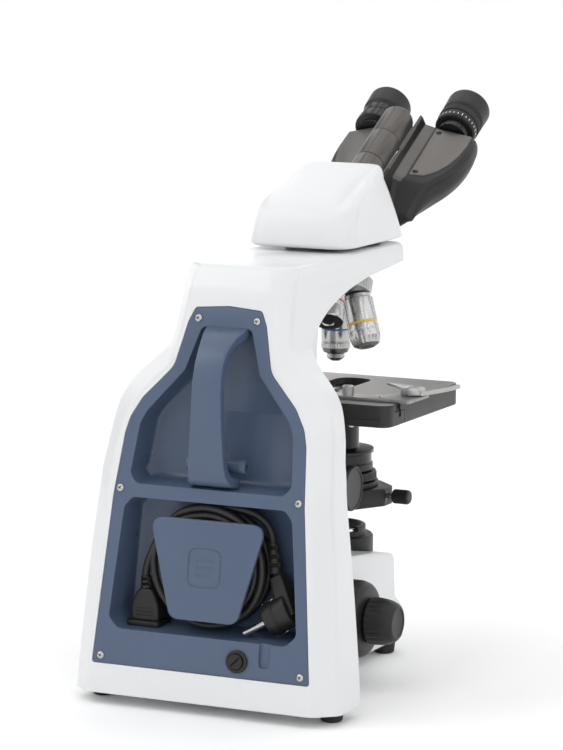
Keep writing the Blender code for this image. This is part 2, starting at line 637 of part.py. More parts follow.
def condenser():
    at = (0, OPTIC_Y, 0)
    carrier_plan = [(-40.5, OPTIC_Y - 12), (-40.5, OPTIC_Y + 2), (-22, -92), (-14, -80), (-14, -58.4),
                    (14, -58.4), (14, -80), (22, -92), (40.5, OPTIC_Y + 2), (40.5, OPTIC_Y - 12),
                    (22, -157), (-22, -157)]
    carrier = build("condenser_carrier", prism(fillet(carrier_plan, [2, 2, 0, 6, 0, 0, 6, 0, 2, 2, 12, 12], 3),
                                               "Z", 110, 122.6), "dark satin")
    join(carrier, prism(rectangle(28, 11, (0, -63.9)), "Z", 112, 152))
    cut(carrier, turned([(0, 100), (24.6, 100), (24.6, 130), (0, 130)], 32), at)
    for side, turn in ((-1, FACING_LEFT), (1, FACING_RIGHT)):
        cut(carrier, turned([(0, 20), (2.0, 20), (2.0, 60), (0, 60)], 12), (0, OPTIC_Y - 5, 116.5), turn)
    body = [(0, 110.5), (24.3, 110.5), (24.3, 122.9), (31.6, 122.9), (31.6, 126.4), (24.0, 127),
            (24.0, 134), (27.6, 134.6), (27.6, 139.4), (26.6, 140), (26.6, 146.6), (28.2, 147),
            (28.2, 149.6), (17.5, 150.4), (17.5, 189.2), (12.4, 189.4), (12.4, 191.6), (10.6, 191.6),
            (10.6, 184), (0, 184)]
    build("condenser_body", turned(body, 24), "black plastic", at)
    build("condenser_lens", turned([(0, 184.3), (10.3, 184.3), (10.3, 190), (6, 192), (0, 192.6)], 24),
          "glass", at)
    build("iris_ring", turned([(24.3, 127.3), (29.6, 127.3), (30.5, 128), (30.5, 132.6), (29.6, 133.6),
                               (24.3, 133.6)], 28, bore=True), "black plastic", at)
    screw = [(0, 26), (1.7, 26), (1.7, 42), (1.7, 44.5), (5.2, 44.5), (5.2, 56), (4.4, 57), (0, 57)]
    for side, turn in (("left", FACING_LEFT), ("right", FACING_RIGHT)):
        build("centring_screw_" + side, turned(screw, 16), "black plastic", (0, OPTIC_Y - 5, 116.5), turn)
    y, z = CONDENSER_KNOB
    build("condenser_knob", turned([(0, 2), (4, 2), (4, 44), (15, 44), (15.9, 45), (15.9, 49.5), (14.8, 50.8),
                                    (13.6, 50.2), (0, 50.2)], 28), "black plastic", (0, y, z), FACING_LEFT)


# ---------------------------------------------------------------- turret and objectives

TURRET_DOWN = Vector((0, math.sin(TURRET_TILT), -math.cos(TURRET_TILT)))
TURRET_FRONT = Vector((0, -math.cos(TURRET_TILT), -math.sin(TURRET_TILT)))
TURRET_CENTRE = Vector((0, OPTIC_Y, SHOULDER_Z)) - TURRET_FRONT * TURRET_RADIUS
TURRET_BASIS = basis(TURRET_DOWN, (1, 0, 0))


def objective_place(step):
    """Shoulder point and downward axis of the objective in one of the five holes."""
    angle = math.radians(72 * step)
    outward = TURRET_FRONT * math.cos(angle) + Vector((-1, 0, 0)) * math.sin(angle)
    axis = TURRET_DOWN * math.cos(TURRET_TILT) + outward * math.sin(TURRET_TILT)
    return TURRET_CENTRE + outward * TURRET_RADIUS, axis


OBJECTIVES = {
    "objective_40x": (0, [(0, GAP), (9.6, GAP), (9.6, 4), (10.4, 4.6), (10.4, 35.5), (8.9, 38.4),
                          (6.4, 39.4), (6.4, 42), (3.4, 44.3), (0, 44.3)]),
    "objective_10x": (1, [(0, GAP), (9.8, GAP), (9.8, 3), (11, 3.4), (11, 32.5), (9.2, 36.6),
                          (6.0, 38.4), (0, 38.8)]),
    "objective_4x": (2, [(0, GAP), (9.6, GAP), (9.6, 4), (10.8, 4.6), (10.8, 28.6), (10.4, 29.6),
                         (4.4, 30.6), (3.8, 29.4), (0, 29.4)]),
    "objective_100x": (4, [(0, GAP), (9.6, GAP), (9.6, 4), (10.4, 4.6), (10.4, 36), (7.6, 39),
                           (5.2, 40), (2.2, 44.5), (0, 44.6)]),
}


def turret():
    fall = math.tan(TURRET_TILT)
    profile = [(0, 7.0), (6, 6.6), (10, (24 - 10) * fall), (33.4, (24 - 33.4) * fall), (34, -4.4),
               (34, -12.2), (33.2, -13), (0, -13)]
    build("nosepiece", turned(profile, 28), "chrome", tuple(TURRET_CENTRE), TURRET_BASIS)
    build("turret_mount", turned([(0, -13 - GAP), (22, -13 - GAP), (22, -16.9), (0, -16.9)], 28),
          "dark satin", tuple(TURRET_CENTRE), TURRET_BASIS)
    for name, (step, outline) in OBJECTIVES.items():
        spot, axis = objective_place(step)
        build(name, turned(outline, 16), "chrome", tuple(spot), basis(axis, (1, 0, 0)))


# ---------------------------------------------------------------- head and eyepieces

def head():
    build("head_ring", turned([(28, ARM_TOP + GAP), (33, ARM_TOP + GAP), (35, 300.2 - 0.2), (28, 300)], 32,
                              bore=True), "dark satin", (0, OPTIC_Y + 6, 0))
    levels = [(300.4, 38.4, -57.8, -163.0), (302.4, 40.0, -56.4, -163.8), (310, 39.6, -58.2, -160.0),
              (318, 38.9, -61.4, -155.8), (325, 38.2, -65.4, -151.8), (331, 37.4, -73, -148.4),
              (339, 36, -92, -144.8),
              (347, 33.6, -116, -141.4), (352, 30.4, -131, -140), (354, 26.5, -134, -139.2)]
    rings = []
    for z, half, back, front in levels:
        outline = fillet(rectangle(half * 2, back - front, (0, (back + front) / 2)),
                         min(14, (back - front) * 0.45), 3)
        rings.append([(x, y, z) for x, y in outline])
    housing = build("head_housing", skin(rings), "white paint", soft=30)
    join(housing, turned([(0, -70), (25.5, -70), (25.5, -36.6), (24.5, -35.6), (0, -35.6)], 32),
         tuple(TUBE_ORIGIN), TUBE_BASIS)
    cut(housing, turned([(0, 290), (24, 290), (24, 330), (0, 330)], 24), (0, OPTIC_Y + 6, 0))
    build("central_tube", turned([(0, -35.3), (19, -35.3), (19, -31), (11.9, -30), (11.9, -0.6), (8, -0.6),
                                  (8, 60.6), (10.6, 60.6), (11.2, 61.2), (10.4, 62.6), (0, 62.6)], 20),
          "dark satin", tuple(TUBE_ORIGIN), TUBE_BASIS)


def wing_station(s, inner, outer, top, bottom):
    """Cross-section of a wing, as (outward, up) points, at a distance along the tube."""
    crown = top - 0.22 * (outer - 21)
    half = (crown + bottom) / 2
    return s, [(inner, -7.5), (21 if s > 10 else inner + 4, top),
               (outer - 3.0, crown), (outer, crown - 4), (outer + 1.0, half), (outer - 3, bottom + 4.5),
               (outer - 10, bottom), (inner + 6, bottom + 1), (inner + 1, bottom + 8)]


def wing(side, sign, knuckle):
    """One half of the binocular; it swings about the central tube."""
    stations = [wing_station(-14, 13.4, 30, -33.4, -44), wing_station(-4, 12.9, 33, -27.5, -45),
                wing_station(6, 12.4, 38, -21.6, -45.5), wing_station(12, 10.6, 41, -16, -45.8),
                wing_station(24, 10.6, 47.4, -16, -46), wing_station(38, 10.6, 52, -16, -46),
                wing_station(54, 10.6, 54, -16, -45.4), wing_station(68, 10.6, 53.4, -16, -43.4),
                wing_station(76, 10.6, 51.4, -16, -41)]
    rings = [[(sign * p, u, s) for p, u in ring] for s, ring in stations]
    made = build("wing_" + side, skin(rings), "dark satin", tuple(TUBE_ORIGIN), WING_BASIS, soft=35)
    low, high = knuckle
    join(made, prism(rectangle(7.5, 8.6, (sign * 11.4, -7.4)), "Z", max(low, 12.5), high),
         tuple(TUBE_ORIGIN), WING_BASIS)
    join(made, turned([(8.3, low), (11.8, low), (11.8, high), (8.3, high)], 20, bore=True),
         tuple(TUBE_ORIGIN), WING_BASIS)
    return made


WING_BASIS = Matrix((Vector((1, 0, 0)), TUBE_UP, TUBE_AXIS)).transposed().to_4x4()


def eyepieces():
    left = [(0, 76.3), (11.4, 76.3), (11.4, 97.6), (14.8, 98.4), (16.2, 100), (16.8, 114.6), (16.2, 116.4),
            (13.4, 116.8), (12.4, 108), (0, 107)]
    right = [(0, 76.3), (11.4, 76.3), (11.4, 80), (15.4, 80.4), (15.4, 87), (14.6, 87.4), (14.6, 97.6),
             (14.8, 98.4), (16.2, 100), (16.8, 114.6), (16.2, 116.4), (13.4, 116.8), (12.4, 108), (0, 107)]
    for side, sign, profile in (("left", -1, left), ("right", 1, right)):
        centre = TUBE_ORIGIN + Vector((sign * EYE_SIDE, 0, 0)) - TUBE_UP * EYE_DROP
        build("eyepiece_" + side, turned(profile, 20), "black plastic", tuple(centre), TUBE_BASIS)
    centre = TUBE_ORIGIN + Vector((-EYE_SIDE, 0, 0)) - TUBE_UP * EYE_DROP
    build("diopter_ring", turned([(11.7, 83), (14.6, 83), (15.6, 84.4), (15.6, 89.6), (16.2, 90.4),
                                  (16.2, 96.4), (15.4, 97.2), (11.7, 97.2)], 20, bore=True),
          "black plastic", tuple(centre), TUBE_BASIS)


clear_scene()
FRAME = bpy.data.objects.new("frame", None)
bpy.context.collection.objects.link(FRAME)
FRAME.location = (0, FRAME_Y * MM, 0)
stand_body()
rear_panel()
panel_screws()
carry_handle()
handle_pin()
cord_winder()
fuse_cap()
feet()
power_cord()
lamp()
focus_knobs()
stage_carriage()
stage_plate()
slide_holder()
slide_finger()
condenser()
turret()
head()
wing("left", -1, (31.2, 60.2))
wing("right", 1, (-0.2, 30.8))
eyepieces()
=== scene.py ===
"""Looks of the laboratory microscope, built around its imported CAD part.

Lengths are in millimetres until a piece is finished. X is across (the user's
left is -X), -Y faces the user, Z is up. Each piece stands for the CAD node of
the same name and rides on that node's body.
"""

import json
import math

import bmesh
import bpy
from mathutils import Matrix, Vector

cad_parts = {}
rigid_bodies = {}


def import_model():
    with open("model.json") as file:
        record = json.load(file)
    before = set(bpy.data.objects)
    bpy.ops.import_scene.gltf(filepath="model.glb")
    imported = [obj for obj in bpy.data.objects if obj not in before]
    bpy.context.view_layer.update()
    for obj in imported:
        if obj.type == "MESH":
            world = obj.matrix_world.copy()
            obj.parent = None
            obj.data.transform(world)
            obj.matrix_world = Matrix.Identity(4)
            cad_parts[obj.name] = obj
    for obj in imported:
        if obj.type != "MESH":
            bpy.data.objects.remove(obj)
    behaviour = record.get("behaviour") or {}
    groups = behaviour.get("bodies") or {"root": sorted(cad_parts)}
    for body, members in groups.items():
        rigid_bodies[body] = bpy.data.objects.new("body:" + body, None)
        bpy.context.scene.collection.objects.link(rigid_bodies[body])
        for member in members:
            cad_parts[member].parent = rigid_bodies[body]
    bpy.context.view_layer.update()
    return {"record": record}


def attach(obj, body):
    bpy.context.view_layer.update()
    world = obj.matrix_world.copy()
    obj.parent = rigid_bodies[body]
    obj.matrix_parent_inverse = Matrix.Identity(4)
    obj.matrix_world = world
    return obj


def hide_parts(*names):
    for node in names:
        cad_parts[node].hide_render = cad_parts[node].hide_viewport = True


for old in list(bpy.data.objects):
    bpy.data.objects.remove(old, do_unlink=True)
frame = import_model()
BODY_OF = {node: body for body, nodes in frame["record"]["behaviour"]["bodies"].items() for node in nodes}

MM = 0.001
GAP = 0.3
FRAME_Y = 104.6          # moves the design so that its box is centred on the origin
OPTIC_Y = -126.8
OPTIC_FOOT = (0, OPTIC_Y, 0)      # foot of the vertical optical axis
HEAD_FOOT = (0, OPTIC_Y + 6, 0)   # foot of the axis that the head turns about
STAND_BOTTOM = 8.0
ARM_TOP = 298.0
BEND_Z = 144.5           # height where the rear panel bends
BEND_Y = 79.3
LOWER_LEAN = 0.113
UPPER_LEAN = 0.245
STAGE_TOP = 194.4
STAGE_BOTTOM = 178.8
STAGE_HALF = 73.0
STAGE_FRONT = -184.8
STAGE_BACK = -54.0
FOCUS_AXIS = (-36.8, 46.5)
CONDENSER_KNOB = (-48.0, 136.0)
CENTRING_AT = (0, OPTIC_Y - 5, 116.5)
STAGE_KNOB = (56.0, -100.0, 0.0)
TURRET_TILT = math.radians(20)
TURRET_RADIUS = 24.0
SHOULDER_Z = 257.1
TUBE_ORIGIN = Vector((0.0, -183.2, 349.0))
TUBE_TILT = math.radians(29.4)
COVER_FALL = 0.22        # slope of the wings' covers
EYE_SIDE = 32.0
EYE_DROP = 24.0
CORD = 5.4
COIL_X = 3.5
COIL_Z = 97.5
COIL_MIDDLE_Y = 66.8
COIL_OUTER_TURN = 40.6
COIL_INNER_TURN = 35.1
CORD_STEP = 5.5
CORD_EXIT = (51.3, 70.1, 87.0)
ROUND = 96               # segments of a turned surface
CAMERA_AT = (-1012.341, 2129.732 + FRAME_Y, 568.822)
CAMERA_ANGLES = (25.061, 8.444, 0.415)      # turn, downward tilt and roll in degrees
FOCAL_LENGTH = 166.937
SENSOR_WIDTH = 36.0
FAR_CLIP = 60            # metres


# ---------------------------------------------------------------- camera

def add_camera():
    turn, down, roll = (math.radians(angle) for angle in CAMERA_ANGLES)
    forward = Vector((math.sin(turn) * math.cos(down), -math.cos(turn) * math.cos(down), -math.sin(down)))
    level = forward.cross(Vector((0, 0, 1))).normalized()
    rise = level.cross(forward)
    right = level * math.cos(roll) + rise * math.sin(roll)
    up = rise * math.cos(roll) - level * math.sin(roll)
    data = bpy.data.cameras.new("camera")
    data.sensor_width = SENSOR_WIDTH
    data.lens = FOCAL_LENGTH
    data.clip_end = FAR_CLIP
    made = bpy.data.objects.new("camera", data)
    bpy.context.collection.objects.link(made)
    facing = Matrix((right, up, -forward)).transposed().to_4x4()
    made.matrix_world = Matrix.Translation(Vector(CAMERA_AT) * MM) @ facing
    bpy.context.scene.camera = made


add_camera()


# ---------------------------------------------------------------- materials

class Recipe:
    """A small helper that adds and joins shader nodes of one material."""

    def __init__(self, name):
        self.material = bpy.data.materials.new(name)
        self.material.use_nodes = True
        self.tree = self.material.node_tree
        self.shader = self.tree.nodes["Principled BSDF"]
        self.place = self.add("ShaderNodeTexCoord").outputs["Object"]
        self.bump_normal = None

    def add(self, kind, **values):
        made = self.tree.nodes.new(kind)
        for key, value in values.items():
            if hasattr(made, key):
                setattr(made, key, value)
            else:
                made.inputs[key.replace("_", " ")].default_value = value
        return made

    def link(self, source, target):
        self.tree.links.new(source, target)

    def noise(self, scale, detail=3.0, rough=0.5, stretch=None):
        made = self.add("ShaderNodeTexNoise", Scale=scale, Detail=detail, Roughness=rough)
        if stretch:
            shift = self.add("ShaderNodeMapping")
            shift.inputs["Scale"].default_value = stretch
            self.link(self.place, shift.inputs["Vector"])
            self.link(shift.outputs["Vector"], made.inputs["Vector"])
        else:
            self.link(self.place, made.inputs["Vector"])
        return made.outputs["Fac"]

    def spread(self, source, low, high, start=0.0, end=1.0):
        """Remap a value, clamped."""
        made = self.add("ShaderNodeMapRange")
        made.inputs["From Min"].default_value = start
        made.inputs["From Max"].default_value = end
        made.inputs["To Min"].default_value = low
        made.inputs["To Max"].default_value = high
        self.link(source, made.inputs["Value"])
        return made.outputs["Result"]

    def blend(self, factor, first, second):
        made = self.add("ShaderNodeMix", data_type="RGBA")
        for index, value in ((6, first), (7, second)):
            if hasattr(value, "links"):
                self.link(value, made.inputs[index])
            else:
                made.inputs[index].default_value = (*value, 1.0)
        self.link(factor, made.inputs[0])
        return made.outputs[2]

    def edges(self, radius):
        """1 on worn outer edges and 0 elsewhere; the rounded normal is kept for the bump."""
        soft = self.add("ShaderNodeBevel", samples=6)
        soft.inputs["Radius"].default_value = radius * MM
        plain = self.add("ShaderNodeNewGeometry")
        dot = self.add("ShaderNodeVectorMath", operation="DOT_PRODUCT")
        self.link(soft.outputs["Normal"], dot.inputs[0])
        self.link(plain.outputs["Normal"], dot.inputs[1])
        self.bump_normal = soft.outputs["Normal"]
        return self.spread(dot.outputs["Value"], 1.0, 0.0, 0.80, 0.985)

    def bump(self, source, strength, distance):
        made = self.add("ShaderNodeBump", Strength=strength, Distance=distance * MM)
        self.link(source, made.inputs["Height"])
        if self.bump_normal:
            self.link(self.bump_normal, made.inputs["Normal"])
        self.bump_normal = made.outputs["Normal"]

    def finish(self, colour, rough):
        self.link(colour, self.shader.inputs["Base Color"])
        self.link(rough, self.shader.inputs["Roughness"])
        if self.bump_normal:
            self.link(self.bump_normal, self.shader.inputs["Normal"])
        return self.material


def shaded(name, colour, rough, metal=0.0, grain=(900.0, 0.02, 0.25), wear=None, edge=0.6, drift=0.06,
           coat=0.0, stretch=None, specular=0.5):
    """A coated, moulded or machined surface with grain, slow colour drift and worn edges.

    grain is (scale, depth in mm, strength) and wear is (colour of worn edges, amount).
    """
    made = Recipe(name)
    made.shader.inputs["Metallic"].default_value = metal
    made.shader.inputs["Coat Weight"].default_value = coat
    made.shader.inputs["Coat Roughness"].default_value = 0.12
    made.shader.inputs["Specular IOR Level"].default_value = specular
    slow = made.noise(14.0, 4.0, 0.6)
    dark = tuple(c * (1 - drift) for c in colour)
    light = tuple(min(1.0, c * (1 + drift)) for c in colour)
    tone = made.blend(made.spread(slow, 0.0, 1.0, 0.3, 0.7), dark, light)
    mask = made.edges(edge)
    if wear:
        worn, amount = wear
        speckle = made.noise(700.0, 2.0, 0.7)
        broken = made.add("ShaderNodeMath", operation="MULTIPLY")
        made.link(mask, broken.inputs[0])
        made.link(made.spread(speckle, 0.0, amount, 0.35, 0.65), broken.inputs[1])
        tone = made.blend(broken.outputs[0], tone, worn)
    scale, depth, strength = grain
    made.bump(made.noise(scale, 2.0, 0.55, stretch), strength, depth)
    smudge = made.noise(60.0, 5.0, 0.65)
    gloss = made.spread(smudge, max(0.03, rough - 0.03), min(1.0, rough + 0.03), 0.3, 0.7)
    return made.finish(tone, gloss)


def turned_metal(name, colour, rough, ring=0.3, depth=0.004):
    """Bright metal with fine tool rings and faint smears."""
    made = Recipe(name)
    made.shader.inputs["Metallic"].default_value = 1.0
    made.edges(0.25)
    slow = made.noise(30.0, 4.0, 0.6)
    tone = made.blend(made.spread(slow, 0.0, 1.0, 0.3, 0.7), tuple(c * 0.95 for c in colour), colour)
    wave = made.add("ShaderNodeTexWave", wave_type="BANDS", bands_direction="Z",
                    Scale=ring * 1000 / 6.3, Distortion=0.4, Detail=2.0)
    made.link(made.place, wave.inputs["Vector"])
    made.bump(wave.outputs["Fac"], 0.06, depth)
    streak = made.noise(220.0, 3.0, 0.6, (0.4, 0.4, 5.0))
    gloss = made.spread(streak, rough * 0.85, rough * 1.15, 0.3, 0.7)
    return made.finish(tone, gloss)


def clear_glass():
    made = Recipe("lens_glass")
    made.shader.inputs["Transmission Weight"].default_value = 1.0
    made.shader.inputs["IOR"].default_value = 1.5
    made.shader.inputs["Coat Weight"].default_value = 0.5
    dust = made.noise(300.0, 4.0, 0.7)
    tone = made.blend(made.spread(dust, 0.0, 1.0, 0.4, 0.8), (0.93, 0.97, 0.98), (0.85, 0.92, 0.95))
    return made.finish(tone, made.spread(dust, 0.02, 0.09, 0.45, 0.75))


FINISHES = {
    "white": shaded("white_enamel", (0.690, 0.704, 0.714), 0.32, grain=(520, 0.05, 0.04),
                    edge=0.8, drift=0.008, coat=0.25),
    "blue": shaded("blue_moulding", (0.068, 0.097, 0.160), 0.30, grain=(1500, 0.03, 0.14),
                   wear=((0.17, 0.22, 0.33), 0.30), edge=0.9, drift=0.05, specular=0.45),
    "black": shaded("black_moulding", (0.014, 0.0135, 0.013), 0.42, grain=(1700, 0.04, 0.18),
                    wear=((0.07, 0.07, 0.07), 0.25), edge=0.4, drift=0.10, specular=0.36),
    "black_gloss": shaded("black_anodised", (0.010, 0.0095, 0.0095), 0.24, metal=0.1,
                          grain=(1900, 0.01, 0.12), wear=((0.12, 0.12, 0.12), 0.25), edge=0.3,
                          specular=0.42),
    "tube": shaded("satin_tube", (0.112, 0.104, 0.097), 0.33, metal=0.75, grain=(1600, 0.03, 0.16),
                   wear=((0.32, 0.31, 0.30), 0.25), edge=0.5, drift=0.05),
    "cover": shaded("satin_cover", (0.138, 0.129, 0.121), 0.38, metal=0.55, grain=(1500, 0.03, 0.16),
                    wear=((0.36, 0.35, 0.33), 0.22), edge=0.4, drift=0.04),
    "hull": shaded("dark_hull", (0.015, 0.014, 0.0135), 0.38, grain=(1500, 0.03, 0.16),
                   wear=((0.08, 0.08, 0.08), 0.22), edge=0.6, drift=0.08, specular=0.36),
    # near-black matt finish for slot and hole faces and the gap under the head: painted shadow
    "shadow": shaded("painted_shadow_matt", (0.010, 0.010, 0.010), 0.80, grain=(1200, 0.02, 0.12), drift=0.2),
    # a lighter copy of the stage's dark colour, for its top face only: painted sheen of light across the
    # top
    "stage": shaded("stage_top_painted_sheen", (0.250, 0.237, 0.224), 0.34, metal=0.2, grain=(1300, 0.02, 0.12),
                    wear=((0.5, 0.49, 0.47), 0.35), edge=0.5, drift=0.05),
    "stage_side": shaded("stage_casting", (0.020, 0.019, 0.0185), 0.42, grain=(1100, 0.04, 0.16),
                         wear=((0.12, 0.12, 0.115), 0.25), edge=0.5, drift=0.08, specular=0.4),
    "brushed": shaded("brushed_plate", (0.30, 0.295, 0.29), 0.30, metal=0.9, grain=(900, 0.01, 0.2),
                      wear=((0.8, 0.8, 0.8), 0.5), edge=0.3, stretch=(1.0, 14.0, 1.0)),
    "chrome": turned_metal("bright_chrome", (0.50, 0.50, 0.495), 0.25),
    "steel": turned_metal("satin_steel", (0.46, 0.455, 0.45), 0.32, ring=0.4),
    "rubber": shaded("cord_rubber", (0.012, 0.012, 0.012), 0.46, grain=(1300, 0.05, 0.2),
                     wear=((0.07, 0.07, 0.07), 0.3), edge=0.3, drift=0.15),
    "foot": shaded("foot_rubber", (0.014, 0.014, 0.014), 0.75, grain=(1000, 0.08, 0.24),
                   wear=((0.09, 0.09, 0.08), 0.5), edge=0.6, drift=0.15),
    "print": shaded("white_marking", (0.80, 0.80, 0.79), 0.5, grain=(2000, 0.02, 0.25), drift=0.03),
    "amber": shaded("lamp_phosphor", (0.85, 0.74, 0.30), 0.5, grain=(1500, 0.02, 0.25), drift=0.05),
    "glass": clear_glass(),
}
for ring_colour, paint_colour in (("yellow", (0.78, 0.45, 0.02)), ("ring_blue", (0.02, 0.14, 0.45)),
                                  ("red", (0.55, 0.02, 0.03))):
    FINISHES[ring_colour] = shaded(ring_colour.replace("ring_", "") + "_ring", paint_colour, 0.35,
                                   grain=(1800, 0.02, 0.25), drift=0.05)


# ---------------------------------------------------------------- outlines and solids

def fillet(points, radius, steps=3):
    """Round the corners of a closed outline; radius is one number or one per corner."""
    steps = steps * 3
    count = len(points)
    radii = radius if isinstance(radius, (list, tuple)) else [radius] * count
    rounded = []
    for index, size in enumerate(radii):
        corner = Vector(points[index])
        before = Vector(points[index - 1]) - corner
        after = Vector(points[(index + 1) % count]) - corner
        if size <= 0:
            rounded.append(tuple(corner))
            continue
        turn = before.angle(after)
        reach = min(size / math.tan(turn / 2), before.length * 0.49, after.length * 0.49)
        start = corner + before.normalized() * reach
        end = corner + after.normalized() * reach
        for step in range(steps + 1):
            t = step / steps
            rounded.append(tuple(start * (1 - t) ** 2 + corner * 2 * t * (1 - t) + end * t * t))
    return rounded


def mirrored(half):
    """A closed outline, symmetric about x = 0, from the points of its +X half."""
    return list(half) + [(-x, z) for x, z in reversed(half) if abs(x) > 1e-6]


def rectangle(width, depth, centre=(0.0, 0.0)):
    cx, cy = centre
    w, d = width / 2, depth / 2
    return [(cx - w, cy - d), (cx + w, cy - d), (cx + w, cy + d), (cx - w, cy + d)]


def circle(radius, count, centre=(0.0, 0.0)):
    steps = [2 * math.pi * i / count for i in range(count)]
    return [(centre[0] + radius * math.cos(a), centre[1] + radius * math.sin(a)) for a in steps]


def skin(rings):
    """Join rings that have the same number of points, and close both ends."""
    mesh = bmesh.new()
    rows = [[mesh.verts.new(point) for point in ring] for ring in rings]
    for low, high in zip(rows, rows[1:]):
        for i in range(len(low)):
            j = (i + 1) % len(low)
            mesh.faces.new((low[i], low[j], high[j], high[i]))
    mesh.faces.new(list(reversed(rows[0])))
    mesh.faces.new(rows[-1])
    bmesh.ops.recalc_face_normals(mesh, faces=mesh.faces)
    return mesh


def place(point, axis, along):
    a, b = point
    if axis == "X":
        return (along, a, b)
    if axis == "Y":
        return (a, along, b)
    return (a, b, along)


def prism(outline, axis, low, high):
    """Outline pushed from low to high along an axis; each may be a function of the point."""
    ends = []
    for level in (low, high):
        ends.append([place(p, axis, level(p) if callable(level) else level) for p in outline])
    return skin(ends)


def slab(width, depth, low, high, centre=(0.0, 0.0), radius=0, steps=1):
    """An upright block, with its upright edges rounded where a radius is given."""
    outline = rectangle(width, depth, centre)
    return prism(fillet(outline, radius, steps) if radius else outline, "Z", low, high)


def turned(profile, segments=ROUND, bore=False, ribs=None):
    """Profile of (radius, height) turned about Z. bore: the profile is a closed loop.

    ribs is (lowest height, highest height, count, depth, sharpness) of flutes cut in that band.
    """
    mesh = bmesh.new()
    if ribs:
        segments = ribs[2] * 6
    rows = []
    for radius, height in profile:
        if radius < 1e-6:
            rows.append([mesh.verts.new((0, 0, height))])
            continue
        row = []
        for step in range(segments):
            angle = 2 * math.pi * step / segments
            size = radius
            if ribs and ribs[0] - 1e-6 <= height <= ribs[1] + 1e-6:
                swing = 0.5 + 0.5 * math.cos(angle * ribs[2])
                size = radius - ribs[3] * swing ** ribs[4]
            row.append(mesh.verts.new((size * math.cos(angle), size * math.sin(angle), height)))
        rows.append(row)
    pairs = list(zip(rows, rows[1:]))
    if bore:
        pairs.append((rows[-1], rows[0]))
    for low, high in pairs:
        for i in range(segments):
            j = (i + 1) % segments
            if len(low) == 1:
                mesh.faces.new((low[0], high[i], high[j]))
            elif len(high) == 1:
                mesh.faces.new((low[i], low[j], high[0]))
            else:
                mesh.faces.new((low[i], low[j], high[j], high[i]))
    bmesh.ops.recalc_face_normals(mesh, faces=mesh.faces)
    return mesh


def rod(radius, low, high, segments=ROUND):
    return turned([(0, low), (radius, low), (radius, high), (0, high)], segments)


def soften(profile, size):
    """The profile with its corners rounded, for a turned edge that catches the light."""
    points = [Vector(p) for p in profile]
    rounded = [tuple(points[0])]
    for before, corner, after in zip(points, points[1:], points[2:]):
        into, out = before - corner, after - corner
        if into.length < 1e-6 or out.length < 1e-6 or into.angle(out) > math.radians(165):
            rounded.append(tuple(corner))
            continue
        reach = min(size, into.length * 0.4, out.length * 0.4)
        start, end = corner + into.normalized() * reach, corner + out.normalized() * reach
        for t in (0.0, 0.33, 0.67, 1.0):
            rounded.append(tuple(start * (1 - t) ** 2 + corner * 2 * t * (1 - t) + end * t * t))
    rounded.append(tuple(points[-1]))
    return rounded


def basis(along, across=None):
    """A rotation whose Z is along, and whose X is as near to across as it can be."""
    z = Vector(along).normalized()
    x = Vector(across) if across else Vector((1, 0, 0))
    if abs(z.dot(x.normalized())) > 0.99:
        x = Vector((0, 1, 0))
    y = z.cross(x).normalized()
    x = y.cross(z)
    return Matrix((x, y, z)).transposed().to_4x4()


FACING_LEFT = basis((-1, 0, 0), (0, 1, 0))
FACING_RIGHT = basis((1, 0, 0), (0, 1, 0))
TUBE_AXIS = Vector((0, -math.cos(TUBE_TILT), math.sin(TUBE_TILT)))
TUBE_UP = Vector((0, math.sin(TUBE_TILT), math.cos(TUBE_TILT)))
TUBE_BASIS = basis(TUBE_AXIS, (1, 0, 0))
WING_BASIS = Matrix((Vector((1, 0, 0)), TUBE_UP, TUBE_AXIS)).transposed().to_4x4()
PIECES = {}


def loose(name, mesh, at, turn):
    bmesh.ops.scale(mesh, vec=(MM, MM, MM), verts=mesh.verts)
    data = bpy.data.meshes.new(name)
    mesh.to_mesh(data)
    mesh.free()
    made = bpy.data.objects.new(name, data)
    bpy.context.collection.objects.link(made)
    spot = Vector(at) + Vector((0, FRAME_Y, 0))
    made.matrix_world = Matrix.Translation(spot * MM) @ (turn or Matrix.Identity(4))
    bpy.context.view_layer.update()
    return made


def build(name, mesh, finish, at=(0, 0, 0), turn=None, soft=32, node=None):
    """One shown piece; it stands for the CAD node of its name, or goes with the node given."""
    made = loose("look_" + name, mesh, at, turn)
    made.data.materials.append(FINISHES[finish])
    PIECES[name] = (made, node, soft)
    return made


def settle(target):
    """Work out the piece's modifiers and keep the result as its mesh."""
    graph = bpy.context.evaluated_depsgraph_get()
    data = bpy.data.meshes.new_from_object(target.evaluated_get(graph))
    old = target.data
    target.modifiers.clear()
    target.data = data
    bpy.data.meshes.remove(old)


def combine(target, tool, operation):
    """Add the tool to a piece or cut it away, and delete the tool."""
    step = target.modifiers.new("step", "BOOLEAN")
    step.operation = operation
    step.solver = "EXACT"
    step.material_mode = "TRANSFER"
    step.object = tool
    settle(target)
    bpy.data.objects.remove(tool, do_unlink=True)


def cut(target, mesh, at=(0, 0, 0), turn=None, finish=None):
    tool = loose("tool", mesh, at, turn)
    tool.data.materials.append(FINISHES[finish] if finish else target.data.materials[0])
    combine(target, tool, "DIFFERENCE")


def join(target, mesh, at=(0, 0, 0), turn=None):
    tool = loose("tool", mesh, at, turn)
    tool.data.materials.append(target.data.materials[0])
    combine(target, tool, "UNION")


def cross_slot(screw, size, low, high, at, turn):
    """A screwdriver's cross in a screw's head, its faces in the near-black painted-shadow finish; size is
    (length, width).
    """
    for sides in (size, size[::-1]):
        cut(screw, slab(*sides, low, high), at, turn, "shadow")


def bevel(target, width, segments=3, angle=35):
    step = target.modifiers.new("bevel", "BEVEL")
    step.width = width * MM
    step.segments = segments
    step.limit_method = "ANGLE"
    step.angle_limit = math.radians(angle)
    step.harden_normals = False
    settle(target)


def paint(target, finish, test):
    """Give a finish to the faces whose centre, in the piece's own millimetres, passes the test."""
    index = target.data.materials.find(FINISHES[finish].name)
    if index < 0:
        target.data.materials.append(FINISHES[finish])
        index = len(target.data.materials) - 1
    for face in target.data.polygons:
        if test(face.center / MM, face.normal):
            face.material_index = index


